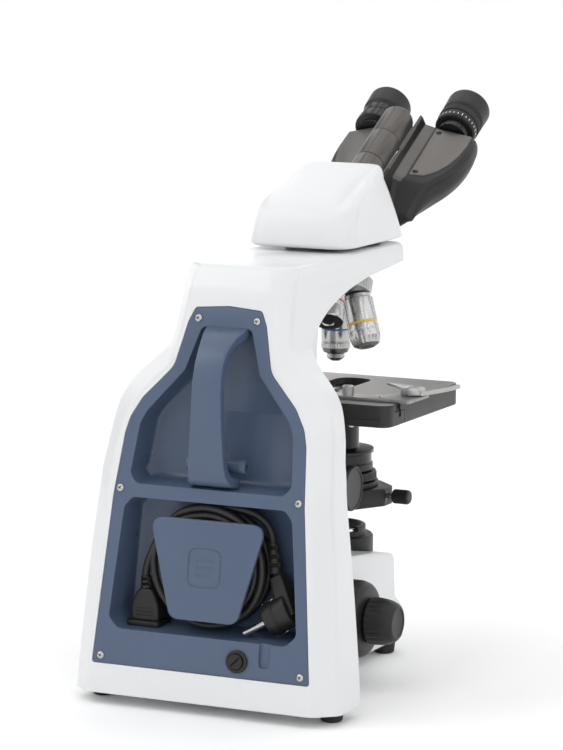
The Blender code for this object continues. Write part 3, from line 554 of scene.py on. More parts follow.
def eased(rows, count):
    """Rows of numbers, resampled along a smooth curve through them (Catmull-Rom)."""
    padded = [rows[0]] + list(rows) + [rows[-1]]
    made = []
    for a, b, c, d in zip(padded, padded[1:], padded[2:], padded[3:]):
        for step in range(count):
            t = step / count
            made.append([0.5 * (2 * q + (r - p) * t + (2 * p - 5 * q + 4 * r - s) * t * t
                                + (3 * q - p - 3 * r + s) * t ** 3) for p, q, r, s in zip(a, b, c, d)])
    made.append(list(rows[-1]))
    return made


# ---------------------------------------------------------------- power cord

def cord_path():
    """The cord's centreline: up from the connector, round the drum, and over to the plug."""
    points = [CORD_EXIT, (50.9, 70.5, 89.2), (50.2, 71.0, 92.0), (48.9, 71.6, 96.0),
              (47.0, 72.0, 100.6), (44.7, 72.25, 105.6)]
    middle = COIL_MIDDLE_Y
    layers = [(COIL_OUTER_TURN, middle + CORD_STEP), (COIL_INNER_TURN, middle + CORD_STEP),
              (COIL_INNER_TURN, middle), (COIL_INNER_TURN, middle - CORD_STEP),
              (COIL_OUTER_TURN, middle - CORD_STEP), (COIL_OUTER_TURN, middle)]
    start, end = 20.0, 5 * 360 + 98.0
    angle = start
    while angle <= end:
        turns = (angle - start) / 360
        index = int(turns)
        # A sixth of each turn goes into the smooth step from the last layer to the next.
        share = min(1.0, (turns - index) / 0.16)
        share = share * share * (3 - 2 * share)
        here = layers[min(index, 5)]
        last = layers[max(min(index, 5) - 1, 0)]
        radius = last[0] + (here[0] - last[0]) * share
        wander = 0.12 * math.sin(math.radians(angle * 2.3))
        depth = last[1] + (here[1] - last[1]) * share
        at = math.radians(angle)
        points.append((COIL_X + (radius + wander) * math.cos(at), depth,
                       COIL_Z + (radius + wander) * math.sin(at)))
        angle += 12.0
    points += [(x, middle, z) for x, z in
               ((-9.5, 138.1), (-16.5, 138.0), (-22.5, 137.3), (-28.2, 136.0), (-33.6, 133.4),
                (-38.0, 129.4), (-41.0, 124.4), (-42.2, 120.6), (-42.4, 118.2))]
    return [Vector(p) for p in points]


def power_cord():
    curve = bpy.data.curves.new("power_cord", "CURVE")
    curve.dimensions = "3D"
    curve.bevel_depth = CORD / 2 * MM
    curve.bevel_resolution = 5
    curve.resolution_u = 4
    curve.use_fill_caps = True
    path = cord_path()
    spline = curve.splines.new("NURBS")
    spline.points.add(len(path) - 1)
    for slot, point in zip(spline.points, path):
        slot.co = (point.x * MM, (point.y + FRAME_Y) * MM, point.z * MM, 1)
    spline.order_u = 3
    spline.use_endpoint_u = True
    curve.materials.append(FINISHES["rubber"])
    made = bpy.data.objects.new("power_cord", curve)
    bpy.context.collection.objects.link(made)
    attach(made, "stand")
    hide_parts("cord_lead", "cord_coil", "cord_tail")
    return made


INLET = (49.5, 69.0)
CONNECTOR_TOP = Vector((50.5, 69.6, 78.0))
PLUG_CENTRE = Vector((-53.5, 70.5, 71.5))
PLUG_AXIS = Vector((0.86, 0.0, -0.51)).normalized()
PLUG_REAR = Vector((-59.0, 70.5, 70.6))       # where the arm runs into the round body
PLUG_NECK = Vector((-45.6, 67.5, 97.0))
RELIEF_TOP = Vector((-42.4, 66.8, 118.0))


def power_inlet():
    socket = build("power_inlet", prism(fillet(rectangle(24, 20, INLET), 2, 2), "Z", 53.6, 57.0), "black")
    bevel(socket, 0.4)


def inlet_connector():
    x, y = INLET
    sizes = [(57.3, 21.5, 14.5, 0), (60, 21.5, 14.5, 0), (66, 21.2, 14.4, 0), (69, 20.0, 14.0, 0),
             (75.5, 14, 12, 0.6), (77.6, 10.4, 10, 0.8), (78.2, 9, 9, 0.8)]
    rings = []
    for z, width, depth, shift in sizes:
        rings.append([(a, b, z) for a, b in fillet(rectangle(width, depth, (x + shift * 0.4, y)), 2.4, 3)])
    made = build("inlet_connector", skin(rings), "black")
    # Finger grips moulded into the two wide faces.
    for z in (60.2, 62.6, 65.0):
        groove = fillet(rectangle(12, 1.3, (0, z)), 0.6, 1)
        for face_y in (y - 7.35, y + 7.35):
            cut(made, prism(groove, "Y", -0.5, 0.5), (x, face_y, 0))
    bevel(made, 0.35, 2)


def tapered_relief(name, start, end, wide, narrow, ribs, bars):
    """A strain relief: a tapered sleeve with deep slots, open in turn on either side.

    ribs is the number of slots on a side, and bars is how much of the core they leave.
    """
    length = (end - start).length
    turn = basis(end - start)
    profile = soften([(0, 0), (wide, 0), (wide * 0.98, length * 0.1), (narrow, length), (0, length)], 0.5)
    made = build(name, turned(profile), "black", start, turn)
    gap = length * 0.82 / ribs
    for rib in range(ribs):
        h = length * 0.1 + gap * (rib + 0.3)
        for half in (0, 1):
            shift = (rib + half) % 2 * gap * 0.5
            aside = (1 if half else -1) * (wide + bars)
            block = slab(wide * 2.4, wide * 2.0, h + shift, h + shift + gap * 0.42, (0, aside))
            cut(made, block, start, turn)
    bevel(made, 0.15, 1)


def plug():
    """Angled mains plug: an arm from the strain relief, a grooved round body, pins and earth strips."""
    turn = basis(PLUG_AXIS, (0, 1, 0))
    profile = soften([(0, -7), (11.0, -7), (12.0, -6), (12.0, 3), (11.3, 3.4), (11.3, 4.6), (12.0, 5),
                      (12.0, 11.4), (11.2, 12.4), (8.6, 12.4), (8.6, 11.6), (0, 11.6)], 0.4)
    body = build("plug_body", turned(profile), "black", PLUG_CENTRE, turn)
    start = PLUG_NECK - (RELIEF_TOP - PLUG_NECK).normalized() * 6 * GAP
    run = (PLUG_REAR - start).normalized()
    side = run.cross(Vector((0, 1, 0))).normalized()
    rows = eased([(0, 4.6, 4.6), (0.12, 5.2, 5.0), (0.35, 5.5, 6.2), (0.7, 5.3, 7.4), (1.0, 5.2, 7.9)], 5)
    rings = []
    for t, wide, deep in rows:
        spot = start + (PLUG_REAR - start) * t
        outline = fillet(rectangle(wide * 2, deep * 2), 2.4, 2)
        rings.append([spot + side * a + Vector((0, b, 0)) for a, b in outline])
    join(body, skin(rings))
    for h in (0.22, 0.30):
        spot = start + (PLUG_REAR - start) * h
        cut(body, rod(9, -0.35, 0.35, 24), spot + side * 12.6, basis(run, (0, 1, 0)))
    bevel(body, 0.3, 2)
    prong = [(0, 0), (2.35, 0), (2.35, 18.2), (2.2, 19.0), (1.4, 19.8), (0, 19.9)]
    for number, sign in enumerate((1, -1), 1):
        foot = PLUG_CENTRE + Vector((0, 1, 0)) * 7.6 * sign + PLUG_AXIS * 11.5
        pin = build("plug_pin_%d" % number, turned(prong, 40), "chrome", foot, basis(PLUG_AXIS),
                    node="plug_body")
        paint(pin, "black", lambda c, n: c.z < 8.6)
    for number, sign in enumerate((1, -1), 1):
        edge = PLUG_CENTRE + PLUG_AXIS.cross(Vector((0, 1, 0))) * 11.75 * sign
        build("earth_strip_%d" % number, slab(4.2, 0.7, -3.0, 12.2, radius=0.25), "chrome", edge, turn,
              node="plug_body")


CORD_PIECE = power_cord()
power_inlet()
inlet_connector()
tapered_relief("connector_relief", CONNECTOR_TOP + Vector((0, 0, 2 * GAP)), Vector(CORD_EXIT),
               4.4, 3.3, 4, 1.6)
tapered_relief("plug_relief", PLUG_NECK, RELIEF_TOP, 4.6, 3.3, 6, 1.5)
plug()


# ---------------------------------------------------------------- stand

def panel_y(z):
    """Back surface of the bent rear panel at a height."""
    return BEND_Y + LOWER_LEAN * (BEND_Z - z) if z < BEND_Z else BEND_Y - UPPER_LEAN * (z - BEND_Z)


def lower_plane(inset):
    return lambda p: BEND_Y + LOWER_LEAN * (BEND_Z - p[1]) - inset


def upper_plane(inset):
    return lambda p: BEND_Y - UPPER_LEAN * (p[1] - BEND_Z) - inset


PANEL_HALF_UPPER = [(0, 271.4), (24.5, 269.5), (29, 260), (36, 230), (57, 208), (64.5, 195),
                    (67.3, 184), (70.8, BEND_Z)]
PANEL_HALF_LOWER = [(70.8, BEND_Z), (81, 28.5)]
UPPER_RECESS = [(18.5, 257.5), (28, 228), (52.8, 199.5), (57, 191), (60.3, 157.5), (55, 151)]
LOWER_RECESS = [(57, 142.3), (62.6, 135.5), (70, 60), (62.4, 52.8)]
PANEL_THICK = 3.0
UPPER_DEPTH = 23.0       # of the handle's recess, along Y
LOWER_FLOOR = 57.0       # Y of the cord recess's floor
WALL = 2.0
SCREW_PLACES = ((74.5, 33.6), (66.3, BEND_Z + 3), (21.7, 262.6))
PANEL_SCREWS = [(side * x, z) for x, z in SCREW_PLACES for side in (1, -1)]
FUSE_PLACE = (-27.8, 39.5)


def panel_normal(z):
    lean = LOWER_LEAN if z < BEND_Z else UPPER_LEAN
    return Vector((0, 1, lean)).normalized()


TURRET_DOWN = Vector((0, math.sin(TURRET_TILT), -math.cos(TURRET_TILT)))
TURRET_FRONT = Vector((0, -math.cos(TURRET_TILT), -math.sin(TURRET_TILT)))
TURRET_CENTRE = Vector((0, OPTIC_Y, SHOULDER_Z)) - TURRET_FRONT * TURRET_RADIUS
TURRET_BASIS = basis(TURRET_DOWN, (1, 0, 0))


def objective_place(step):
    """Shoulder point and downward axis of the objective in one of the five holes."""
    angle = math.radians(72 * step)
    outward = TURRET_FRONT * math.cos(angle) + Vector((-1, 0, 0)) * math.sin(angle)
    axis = TURRET_DOWN * math.cos(TURRET_TILT) + outward * math.sin(TURRET_TILT)
    return TURRET_CENTRE + outward * TURRET_RADIUS, axis


def stand_ring(z, width, corner_y, flat, front, column, column_front, rear):
    """Plan outline of the stand at one height, with every corner rounded."""
    half = [(flat, rear), (width - 2.0, corner_y + 1.0), (width, corner_y - 2.5), (width, front),
            (column, front), (column, column_front)]
    ring = half + [(-x, y) for x, y in reversed(half)]
    sizes = [9, 7, 4, 3.0, 1.2, 3.5]
    return [(x, y, z) for x, y in fillet(ring, sizes + sizes[::-1], 3)]


def stand_body():
    levels = [
        (8, 99.2, 82.0, 84, 46, 34, -22), (40, 97.2, 80.0, 82, 46, 34, -22),
        (96, 92.6, 75.8, 78, 46, 34, -22), (144.5, 87.6, 71.0, 75, 45.5, 34, -22),
        (160, 86.5, 68.2, 74, 44.4, 34, -22), (172, 85.0, 65.0, 73, 43, 34, -22),
        (185, 83.6, 60.7, 71, 39.8, 34, -22), (200, 80.9, 57.0, 66, 37, 34, -22),
        (210, 77.0, 54.8, 60.5, 34, 34, -22), (220, 70.2, 52.4, 52, 32, 34, -22),
        (230, 60.0, 49.7, 42, 28, 34, -22), (238, 51.1, 48.0, 37.5, 20, 34, -22.5),
        (244, 46.2, 45.6, 36, 13, 34, -23), (251, 44.7, 43.5, 34, 2, 34, -24),
        (257, 43.9, 41.5, 33, -6, 34, -26), (266, 43.2, 38.5, 31.5, -26, 34, -30),
        (274, 42.6, 35.6, 31, -55, 34, -59), (280, 42.2, 33.2, 30.5, -92, 34, -96)]
    rings = []
    for z, width, corner, flat, front, column, deep in eased(levels, 3):
        rings.append(stand_ring(z, width, corner, flat, front, column, deep, panel_y(z)))
    for row in ((283.0, 41.9, 32.0, 30.1, -131.0, 34, -134.0, 45.2),
                (285.0, 41.7, 31.2, 30.0, -153.4, 34, -155.4, 43.8),
                (290.0, 41.2, 29.2, 29.4, -154.0, 34, -155.8, 41.2),
                (294.6, 40.6, 27.0, 28.8, -154.0, 34, -155.8, 38.2),
                (296.8, 39.7, 25.8, 28.0, -153.2, 33.2, -155.0, 36.6),
                (ARM_TOP, 37.6, 23.6, 26.2, -151.2, 31.2, -153.0, 33.8)):
        rings.append(stand_ring(*row))
    body = build("stand_body", skin(rings), "white", soft=34)
    side = fillet([(60, 9), (-155, STAND_BOTTOM), (-155, 31), (-139.5, 43), (-136.5, 74), (-101, 80),
                   (-61, 85), (60, 92)], [0, 4, 5, 6, 6, 30, 30, 0])
    base = loose("base", prism(side, "X", -44, 44), (0, 0, 0), None)
    base.data.materials.append(FINISHES["white"])
    bevel(base, 3.2, 4, 30)
    combine(body, base, "UNION")
    for half, plane in ((PANEL_HALF_LOWER, lower_plane), (PANEL_HALF_UPPER, upper_plane)):
        outline = mirrored([(x + GAP if x else 0, z) for x, z in half])
        outline = [(x, z - GAP if z == 28.5 else z + (GAP if z > 269 else 0)) for x, z in outline]
        if plane is lower_plane:
            outline = [(x, z + 0.5 if z == BEND_Z else z) for x, z in outline]
            outline = fillet(outline, [0, 2.4, 2.4, 0], 2)
        else:
            outline = fillet(outline, panel_corners(outline), 3)
        cut(body, prism(outline, "Y", plane(PANEL_THICK + GAP), 120))
    pocket_low = mirrored([(60, 146), (66, 141), (73.4, 60), (66, 49.5)])
    cut(body, prism(pocket_low, "Y", LOWER_FLOOR - WALL - 0.5, 100))
    pocket_high = mirrored([(x + 3, z) for x, z in
                            [(18.5, 260.5), (28, 229.5), (52.8, 201), (57, 192), (60.5, 157), (57, 146)]])
    cut(body, prism(pocket_high, "Y", upper_plane(UPPER_DEPTH + WALL + 0.5), 100))
    cut(body, prism(circle(7.4, 48, FUSE_PLACE), "Y", 70, 110))
    cut(body, turned([(0, 60), (58.6, 60), (36.2, -1.5), (35.2, -4.5), (35.2, -17.2), (0, -17.2)]),
        TURRET_CENTRE, TURRET_BASIS)
    cut(body, rod(28.9, 130, 72.7), OPTIC_FOOT)
    cut(body, rod(6.5, 80, -80), (0, *FOCUS_AXIS),
        FACING_LEFT)


def panel_corners(outline):
    """Corner radii of the panel's outline: sharp at the bend and round elsewhere."""
    return [0 if abs(z - BEND_Z) < 0.6 else 2.2 if z < 30 else 3.5 if z > 265 else 18 for x, z in outline]


def recess_block(points, radii, floor):
    """A recess cutter that narrows towards its floor, with its floor's edge rounded."""
    middle_z = sum(z for x, z in points) / len(points)
    shape = fillet(mirrored(points), radii, 3)
    rings = []
    for rise, inset in ((60, 0.0), (25.5, 0.0), (3.6, 1.2), (1.2, 2.6), (0.0, 5.0)):
        ring = []
        for x, z in shape:
            nx = x - math.copysign(min(inset, abs(x)), x) if abs(x) > 1e-6 else x
            nz = z - math.copysign(inset, z - middle_z) * min(1.0, abs(z - middle_z) / 20)
            ring.append((nx, floor((nx, nz)) + rise, nz))
        rings.append(ring)
    return skin(rings)


def rear_panel():
    half = PANEL_HALF_UPPER + PANEL_HALF_LOWER[1:]
    outline = mirrored(half)

    def face(inset):
        return lambda point: (upper_plane if point[1] > BEND_Z else lower_plane)(inset)(point)

    plate = prism(fillet(outline, panel_corners(outline), 3), "Y", face(PANEL_THICK), face(0))
    bmesh.ops.bisect_plane(plate, geom=plate.verts[:] + plate.edges[:] + plate.faces[:],
                           plane_co=(0, 0, BEND_Z), plane_no=(0, 0, 1))
    panel = build("rear_panel", plate, "blue", soft=30)
    bevel(panel, 0.5, 2, 50)
    high_tub = mirrored([(x + WALL, z) for x, z in UPPER_RECESS])
    high_tub = [(x, z + (WALL if z > 250 else -WALL if z < 155 else 0)) for x, z in high_tub]
    join(panel, prism(fillet(high_tub, 4, 2), "Y", upper_plane(UPPER_DEPTH + WALL), upper_plane(1)))
    low_tub = mirrored([(x + WALL, z) for x, z in LOWER_RECESS])
    low_tub = [(x, z + (WALL if z > 140 else -WALL if z < 55 else 0)) for x, z in low_tub]
    join(panel, prism(fillet(low_tub, 4, 2), "Y", LOWER_FLOOR - WALL, lower_plane(1)))
    sizes = [5, 12, 12, 8, 6, 6]
    cut(panel, recess_block(UPPER_RECESS, sizes + sizes[::-1], upper_plane(UPPER_DEPTH)))
    cut(panel, recess_block(LOWER_RECESS, [6, 6, 6, 7, 7, 6, 6, 6], lambda p: LOWER_FLOOR))
    notch = fillet([(-43.6, 60), (-43.6, 36.5), (-51.4, 36.5), (-51.4, 60)], [0, 3.6, 3.6, 0], 3)
    cut(panel, prism(notch, "Y", lower_plane(2.0), 110))
    cut(panel, prism(circle(6.6, 48, FUSE_PLACE), "Y", 70, 110))
    # The two middle screws sit beside the bend; their heads cover the place, so no seat is cut.
    for x, z in PANEL_SCREWS[:2] + PANEL_SCREWS[4:]:
        cut(panel, rod(2.2, 6, -8, 36), (x, panel_y(z), z), basis(panel_normal(z), (1, 0, 0.27)))


def panel_screws():
    profile = soften([(0, -2.7), (1.1, -2.7), (1.1, -0.1), (2.6, -0.1), (2.6, 0.7), (1.6, 1.5),
                      (0, 1.65)], 0.3)
    for number, (x, z) in enumerate(PANEL_SCREWS, 1):
        spot, turn = (x, panel_y(z), z), basis(panel_normal(z), (1, 0, 0.35 * number))
        screw = build("panel_screw_%d" % number, turned(profile, 40), "chrome", spot, turn)
        cross_slot(screw, (2.3, 0.5), 0.7, 3, spot, turn)


def carry_handle():
    path = [(66.5, 155.4, 17.4), (70.5, 155.6, 17.2), (75, 157, 16.2), (78.4, 161, 14.6), (80.2, 168, 13.4),
            (80.6, 180, 12.6), (80.6, 192, 11.8), (80.6, 205, 11.2), (80.3, 215, 10.8), (79.4, 225, 10.6),
            (77.2, 233, 10.4), (73.2, 240, 10.6), (67.8, 245.6, 11.4), (61.4, 250, 13.0), (54, 253.2, 15),
            (43.5, 255.6, 16.5)]
    rows = eased(path, 4)
    rings = []
    for index, (y, z, half) in enumerate(rows):
        back = rows[max(index - 1, 0)]
        ahead = rows[min(index + 1, len(rows) - 1)]
        run = Vector((0, ahead[0] - back[0], ahead[1] - back[1])).normalized()
        out = run.cross(Vector((1, 0, 0))).normalized()
        centre = Vector((0, y, z))
        shape = fillet(rectangle(half * 2, 7.2), 1.6, 2)
        rings.append([centre + Vector((a, 0, 0)) + out * b for a, b in shape])
    rings[0] = [Vector((p.x, p.y, max(p.z, 151 + GAP))) for p in rings[0]]
    rings[-1] = [Vector((p.x, p.y, min(p.z, 257.2 - GAP))) for p in rings[-1]]
    build("carry_handle", skin(rings), "blue", soft=50)


def handle_pin():
    half = [(4.5, 17.2), (5, 17.6), (5, 21.4), (4.4, 22), (2.2, 22)]
    profile = [(radius, -end) for radius, end in reversed(half)] + half
    build("handle_pin", turned(profile, bore=True), "blue", (0, 65.0, 166.0), FACING_LEFT)


def cord_winder():
    """The winder plate, with a plain framed tile pressed into it, on its drum."""
    outline = fillet(mirrored([(43.5, 130.6), (25, 62.8)]), 9, 4)
    plate = build("cord_winder", prism(outline, "Y", lower_plane(4.2), lower_plane(1.0)), "blue", soft=30)
    bevel(plate, 0.9, 4, 50)
    middle = (0.5, panel_y(98) - 1.0, 98.5)
    turn = basis(panel_normal(98), (1, 0, 0))
    cut(plate, slab(25, 27, -0.45, 3, radius=7.0, steps=3), middle, turn)
    pad = build("winder_tile", slab(22.9, 24.9, -0.6, 0.0, radius=6.2, steps=3), "blue", middle, turn,
                node="cord_winder")
    bevel(pad, 0.3, 2)
    for height in (5.2, 0, -5.2):
        cut(pad, slab(12, 2.2, -0.3, 1, (0, height), 1.0), middle, turn)
    join(plate, rod(26, LOWER_FLOOR + GAP, 80), (COIL_X - 1.5, 0, COIL_Z), basis((0, 1, 0)))


def fuse_cap():
    x, z = FUSE_PLACE
    spot, turn = (x, panel_y(z), z), basis(panel_normal(z), (1, 0, 1))
    profile = soften([(0, -9), (5.9, -9), (5.9, GAP), (7.8, GAP), (7.8, 1.4), (7.0, 2.0), (5.6, 2.0),
                      (5.6, 1.2), (5.1, 1.2), (5.1, 3.2), (0, 3.3)], 0.25)
    cap = build("fuse_cap", turned(profile), "black", spot, turn)
    # The slot's faces take the near-black finish: painted shadow in the slot.
    cut(cap, slab(1.3, 8.0, 2.2, 6), spot, turn, "shadow")


def feet():
    profile = soften([(0, 0.6), (2.5, 0.6), (3.1, 0), (6.2, 0), (7.4, 1.0), (8.2, STAND_BOTTOM - GAP),
                      (0, STAND_BOTTOM - GAP)], 0.6)
    for number, (x, y) in enumerate(((86, 66), (-86, 66), (36, -137), (-36, -137)), 1):
        build("foot_%d" % number, turned(profile), "foot", (x, y, 0))


stand_body()
rear_panel()
panel_screws()
carry_handle()
handle_pin()
cord_winder()
fuse_cap()
feet()


# ---------------------------------------------------------------- base and focus

def lamp():
    cup = soften([(0, 73), (28.4, 73), (28.4, 85.6), (27.2, 87), (22.9, 87), (22.9, 93.2), (22.2, 94),
                  (20.4, 94), (18.4, 88.5), (18.4, 84), (8, 84), (8, 78), (0, 78)], 0.4)
    holder = build("lamp_holder", turned(cup), "black", OPTIC_FOOT, soft=35)
    for notch in ((-16.5, 13.5), (17.5, -13.5)):
        cut(holder, slab(20, 14, 90.6, 99, notch, 2, 2), OPTIC_FOOT)
    build("field_lens", turned([(0, 84.3), (17.8, 84.3), (17.8, 87.8), (15.4, 88.9), (12, 90.0), (8, 90.7),
                                (4, 91.1), (0, 91.2)]), "glass", OPTIC_FOOT)
    led = build("lamp_led", turned([(0, 78.3), (7.5, 78.3), (7.5, 80), (3, 80), (2.9, 81), (2.3, 82),
                                    (1.2, 82.4), (0, 82.4)]), "print", OPTIC_FOOT)
    paint(led, "amber", lambda c, n: math.hypot(c.x, c.y) < 3.0 and c.z > 79.9)


def brightness_dial():
    dial_at = (44, -112, 44)
    profile = soften([(0, GAP), (12.2, GAP), (13, 1.0), (13, 1.6), (12.8, 7.6), (12, 8.8), (9, 9),
                      (0, 9)], 0.4)
    dial = build("brightness_dial", turned(profile, ribs=(1.5, 8.0, 40, 0.45, 2)), "black", dial_at,
                 FACING_RIGHT)
    paint(dial, "print", lambda c, n: abs(c.x) < 0.45 and c.y > 7.6 and c.z > 8.9)
    for tick in range(9):
        turn = Matrix.Rotation(math.radians(-135 + tick * 33.75), 4, "X")
        length = 1.4 if tick % 4 else 2.2
        build("dial_mark_%d" % (tick + 1), prism(rectangle(0.5, length, (0, 15.4)), "X", 0.0, 0.12),
              "ring_blue", dial_at, turn, node="stand_body")


def focus_knobs():
    centre = (0, *FOCUS_AXIS)
    sides = (("left", FACING_LEFT), ("right", FACING_RIGHT))
    build("focus_shaft", turned([(3.3, -67), (6, -67), (6, 67), (3.3, 67)], bore=True), "steel", centre,
          FACING_LEFT)
    coarse = soften([(6.3, 44.6), (22, 44.6), (26, 46), (27.6, 49), (27.6, 50.2), (27.2, 50.6),
                     (27.2, 60.4), (27.0, 61), (26, 64.4), (24.6, 66.2), (22.5, 67.4), (17.5, 68.4),
                     (6.3, 68.4)], 0.6)
    for side, turn in sides:
        build("coarse_knob_" + side, turned(coarse, bore=True, ribs=(50.5, 61.2, 72, 0.5, 2)), "black",
              centre, turn)
    cap = soften([(0, 89.0), (9.6, 89.0), (10.2, 89.8), (12.0, 89.4), (13.9, 87.4), (15.4, 83.4),
                  (16.1, 79.6), (16.5, 75.0), (16.5, 70.8), (15.6, 69), (3, 69)], 0.7)
    # The left knob carries the long fine shaft, which runs through the hollow coarse one.
    for (side, turn), shaft_end in zip(sides, (-66, 66.4)):
        profile = cap + [(3, 68.9), (3, shaft_end), (0, shaft_end)]
        build("fine_knob_" + side, turned(profile, ribs=(71.5, 82.5, 20, 0.75, 3)), "black", centre, turn)


lamp()
brightness_dial()
focus_knobs()


# ---------------------------------------------------------------- stage and condenser

def stage_carriage():
    made = build("stage_carriage", slab(44, 11.4, 118, 189.9, (0, -28.0)), "stage_side")
    join(made, slab(68, 126, 179.5, 189.9, (0, -91)))
    join(made, slab(18, 30, 124, 183, (0, -43)))
    cut(made, rod(19, 170, 200), OPTIC_FOOT)
    cut(made, rod(4.4, -30, 30), (0, *CONDENSER_KNOB), FACING_LEFT)
    bevel(made, 0.5, 2)


def stage_plate():
    depth = STAGE_BACK - STAGE_FRONT
    middle = (STAGE_BACK + STAGE_FRONT) / 2
    outer = fillet(rectangle(STAGE_HALF * 2, depth, (0, middle)), 10, 3)
    plate = build("stage_plate", prism(outer, "Z", STAGE_BOTTOM, STAGE_TOP), "stage_side", soft=30)
    bevel(plate, 0.8, 3, 50)
    inner = fillet(rectangle(STAGE_HALF * 2 - 8, depth - 8, (0, middle)), 3, 1)
    cut(plate, prism(inner, "Z", STAGE_BOTTOM - 5, STAGE_TOP - 4.2))
    cut(plate, slab(76, 30, STAGE_BOTTOM - 5, STAGE_TOP - 4.2, (0, STAGE_BACK)))
    slot = fillet(rectangle(27, 83, (0, OPTIC_Y)), 13.4, 6)
    cut(plate, prism(slot, "Z", STAGE_BOTTOM, STAGE_TOP + 5))
    # Notch in either side, and under it the seam between the back block and the plate.
    for edge in (STAGE_HALF, -STAGE_HALF):
        cut(plate, slab(3, 9, 188.6, STAGE_TOP + 5, (edge, -70.5)))
        cut(plate, slab(2.4, 3.4, 184.6, 190, (edge, -74.6)))
        cut(plate, slab(1.0, 0.5, STAGE_BOTTOM - 1, 188.8, (edge, -82.6)))
        cut(plate, slab(1.0, 8.0, 188.3, 188.8, (edge, -78.6)))
    cut(plate, slab(160, 0.9, 183.9, 184.4, (0, STAGE_BACK)))
    # The top face takes a lighter copy of the stage's dark colour: painted sheen of light on the top.
    paint(plate, "stage", lambda c, n: n.z > 0.9 and c.z > STAGE_TOP - 0.2)
    # Engraved travel scale along the front edge.
    for tick in range(41):
        length = 3.4 if tick % 10 == 0 else 2.4 if tick % 5 == 0 else 1.5
        mark = slab(0.22, length, STAGE_TOP, STAGE_TOP + 0.03, (-20 + tick, -176 - length / 2))
        build("stage_tick_%d" % tick, mark, "print", node="stage_plate")


def stage_knobs():
    """Two coaxial knobs: the lower one's shaft runs up through the upper one."""
    lower = soften([(0, 124), (10.6, 124), (12.5, 125.2), (12.5, 126.5), (12.3, 143.2), (11.5, 145),
                    (3, 145), (3, 189.9), (0, 189.9)], 0.4)
    build("stage_y_knob", turned(lower, ribs=(126.4, 143.4, 40, 0.5, 2)), "black", STAGE_KNOB)
    upper = soften([(3.3, 146), (9.5, 146), (10.5, 147), (10.4, 148), (10.4, 163), (9.5, 165), (5, 166),
                    (5, 189.6), (3.3, 189.6)], 0.4)
    build("stage_x_knob", turned(upper, bore=True, ribs=(147.9, 163.2, 36, 0.5, 2)), "black", STAGE_KNOB)


def slide_holder():
    top = STAGE_TOP + GAP
    made = build("slide_holder", slab(76, 15, top, top + 2.2, (-44, -76), 2, 2),
                 "brushed", soft=30)
    jaw = [(-83, -78), (-83, -104), (-62, -104), (-54, -88), (-48, -86), (-48, -78)]
    join(made, prism(fillet(jaw, 2, 2), "Z", top + 0.4, top + 2.2))
    bevel(made, 0.3, 2, 50)
    grip = soften([(0, 1.6), (4.1, 1.6), (4.1, 2.6), (4.1, 8.3), (3.5, 9.1), (1.6, 9.1), (1.4, 8.8),
                   (0, 8.8)], 0.2)
    build("holder_screw", turned(grip, ribs=(2.7, 8.2, 32, 0.35, 1)), "steel", (-34, -73, top + 0.4),
          node="slide_holder")
    pin = soften([(0, 2.2), (1.9, 2.2), (1.9, 2.9), (1.2, 3.3), (0, 3.35)], 0.2)
    for x in (-12, -58):
        head = build("holder_pin_%d" % -x, turned(pin, 40), "chrome", (x, -76, top), node="slide_holder")
        # The slot's faces take the near-black finish: painted shadow in the slot.
        cut(head, slab(0.5, 3, 2.9, 4), (x, -76, top), None, "shadow")


def slide_finger():
    """Sprung finger: a domed boss, a beak over the stage and a bar curved round outside it."""
    top = STAGE_TOP + GAP + 2.2 + GAP
    pivot = (-73.5, -96, top)
    dome = soften([(0, 0), (8.4, 0), (8.8, 0.8), (8.8, 4.0), (8.0, 5.0), (6.8, 5.5), (6.2, 5.2), (5.2, 5.7),
                   (2.2, 6.0), (2.0, 5.6), (0, 5.6)], 0.3)
    finger = build("slide_finger", turned(dome), "steel", pivot)
    tab = fillet([(-78, -97), (-74, -104), (-62, -109), (-47, -110.5), (-58, -101), (-66, -92), (-72, -90)],
                 [1, 3, 8, 0.5, 8, 3, 1], 3)
    join(finger, prism(tab, "Z", top + 3.4, top + 5.0))
    shares = [step / 36 for step in range(37)]
    bar = [Vector((-80.5 - 10.5 * math.sin(t * math.pi / 2), -91 - 47 * t)) for t in shares]
    side = [(p.x - 1.3, p.y) for p in bar] + [(p.x + 1.3, p.y) for p in reversed(bar)]
    join(finger, prism(side, "Z", top + 0.2, top + 2.8))
    bevel(finger, 0.25, 2, 50)


def condenser_carrier():
    ends = [(-40.5, OPTIC_Y - 12), (-40.5, OPTIC_Y + 2), (-22, -92), (-14, -80), (-14, -58.4)]
    plan = ends + [(-x, y) for x, y in reversed(ends)] + [(22, -157), (-22, -157)]
    plate = prism(fillet(plan, [3, 4, 0, 6, 0, 0, 6, 0, 4, 3, 12, 12], 3), "Z", 110, 122.6)
    carrier = build("condenser_carrier", plate, "hull", soft=30)
    join(carrier, slab(28, 11, 112, 152, (0, -63.9)))
    cut(carrier, rod(24.6, 100, 130), OPTIC_FOOT)
    for turn in (FACING_LEFT, FACING_RIGHT):
        cut(carrier, rod(2.0, 20, 60, 40), CENTRING_AT, turn)
    bevel(carrier, 0.6, 2, 50)


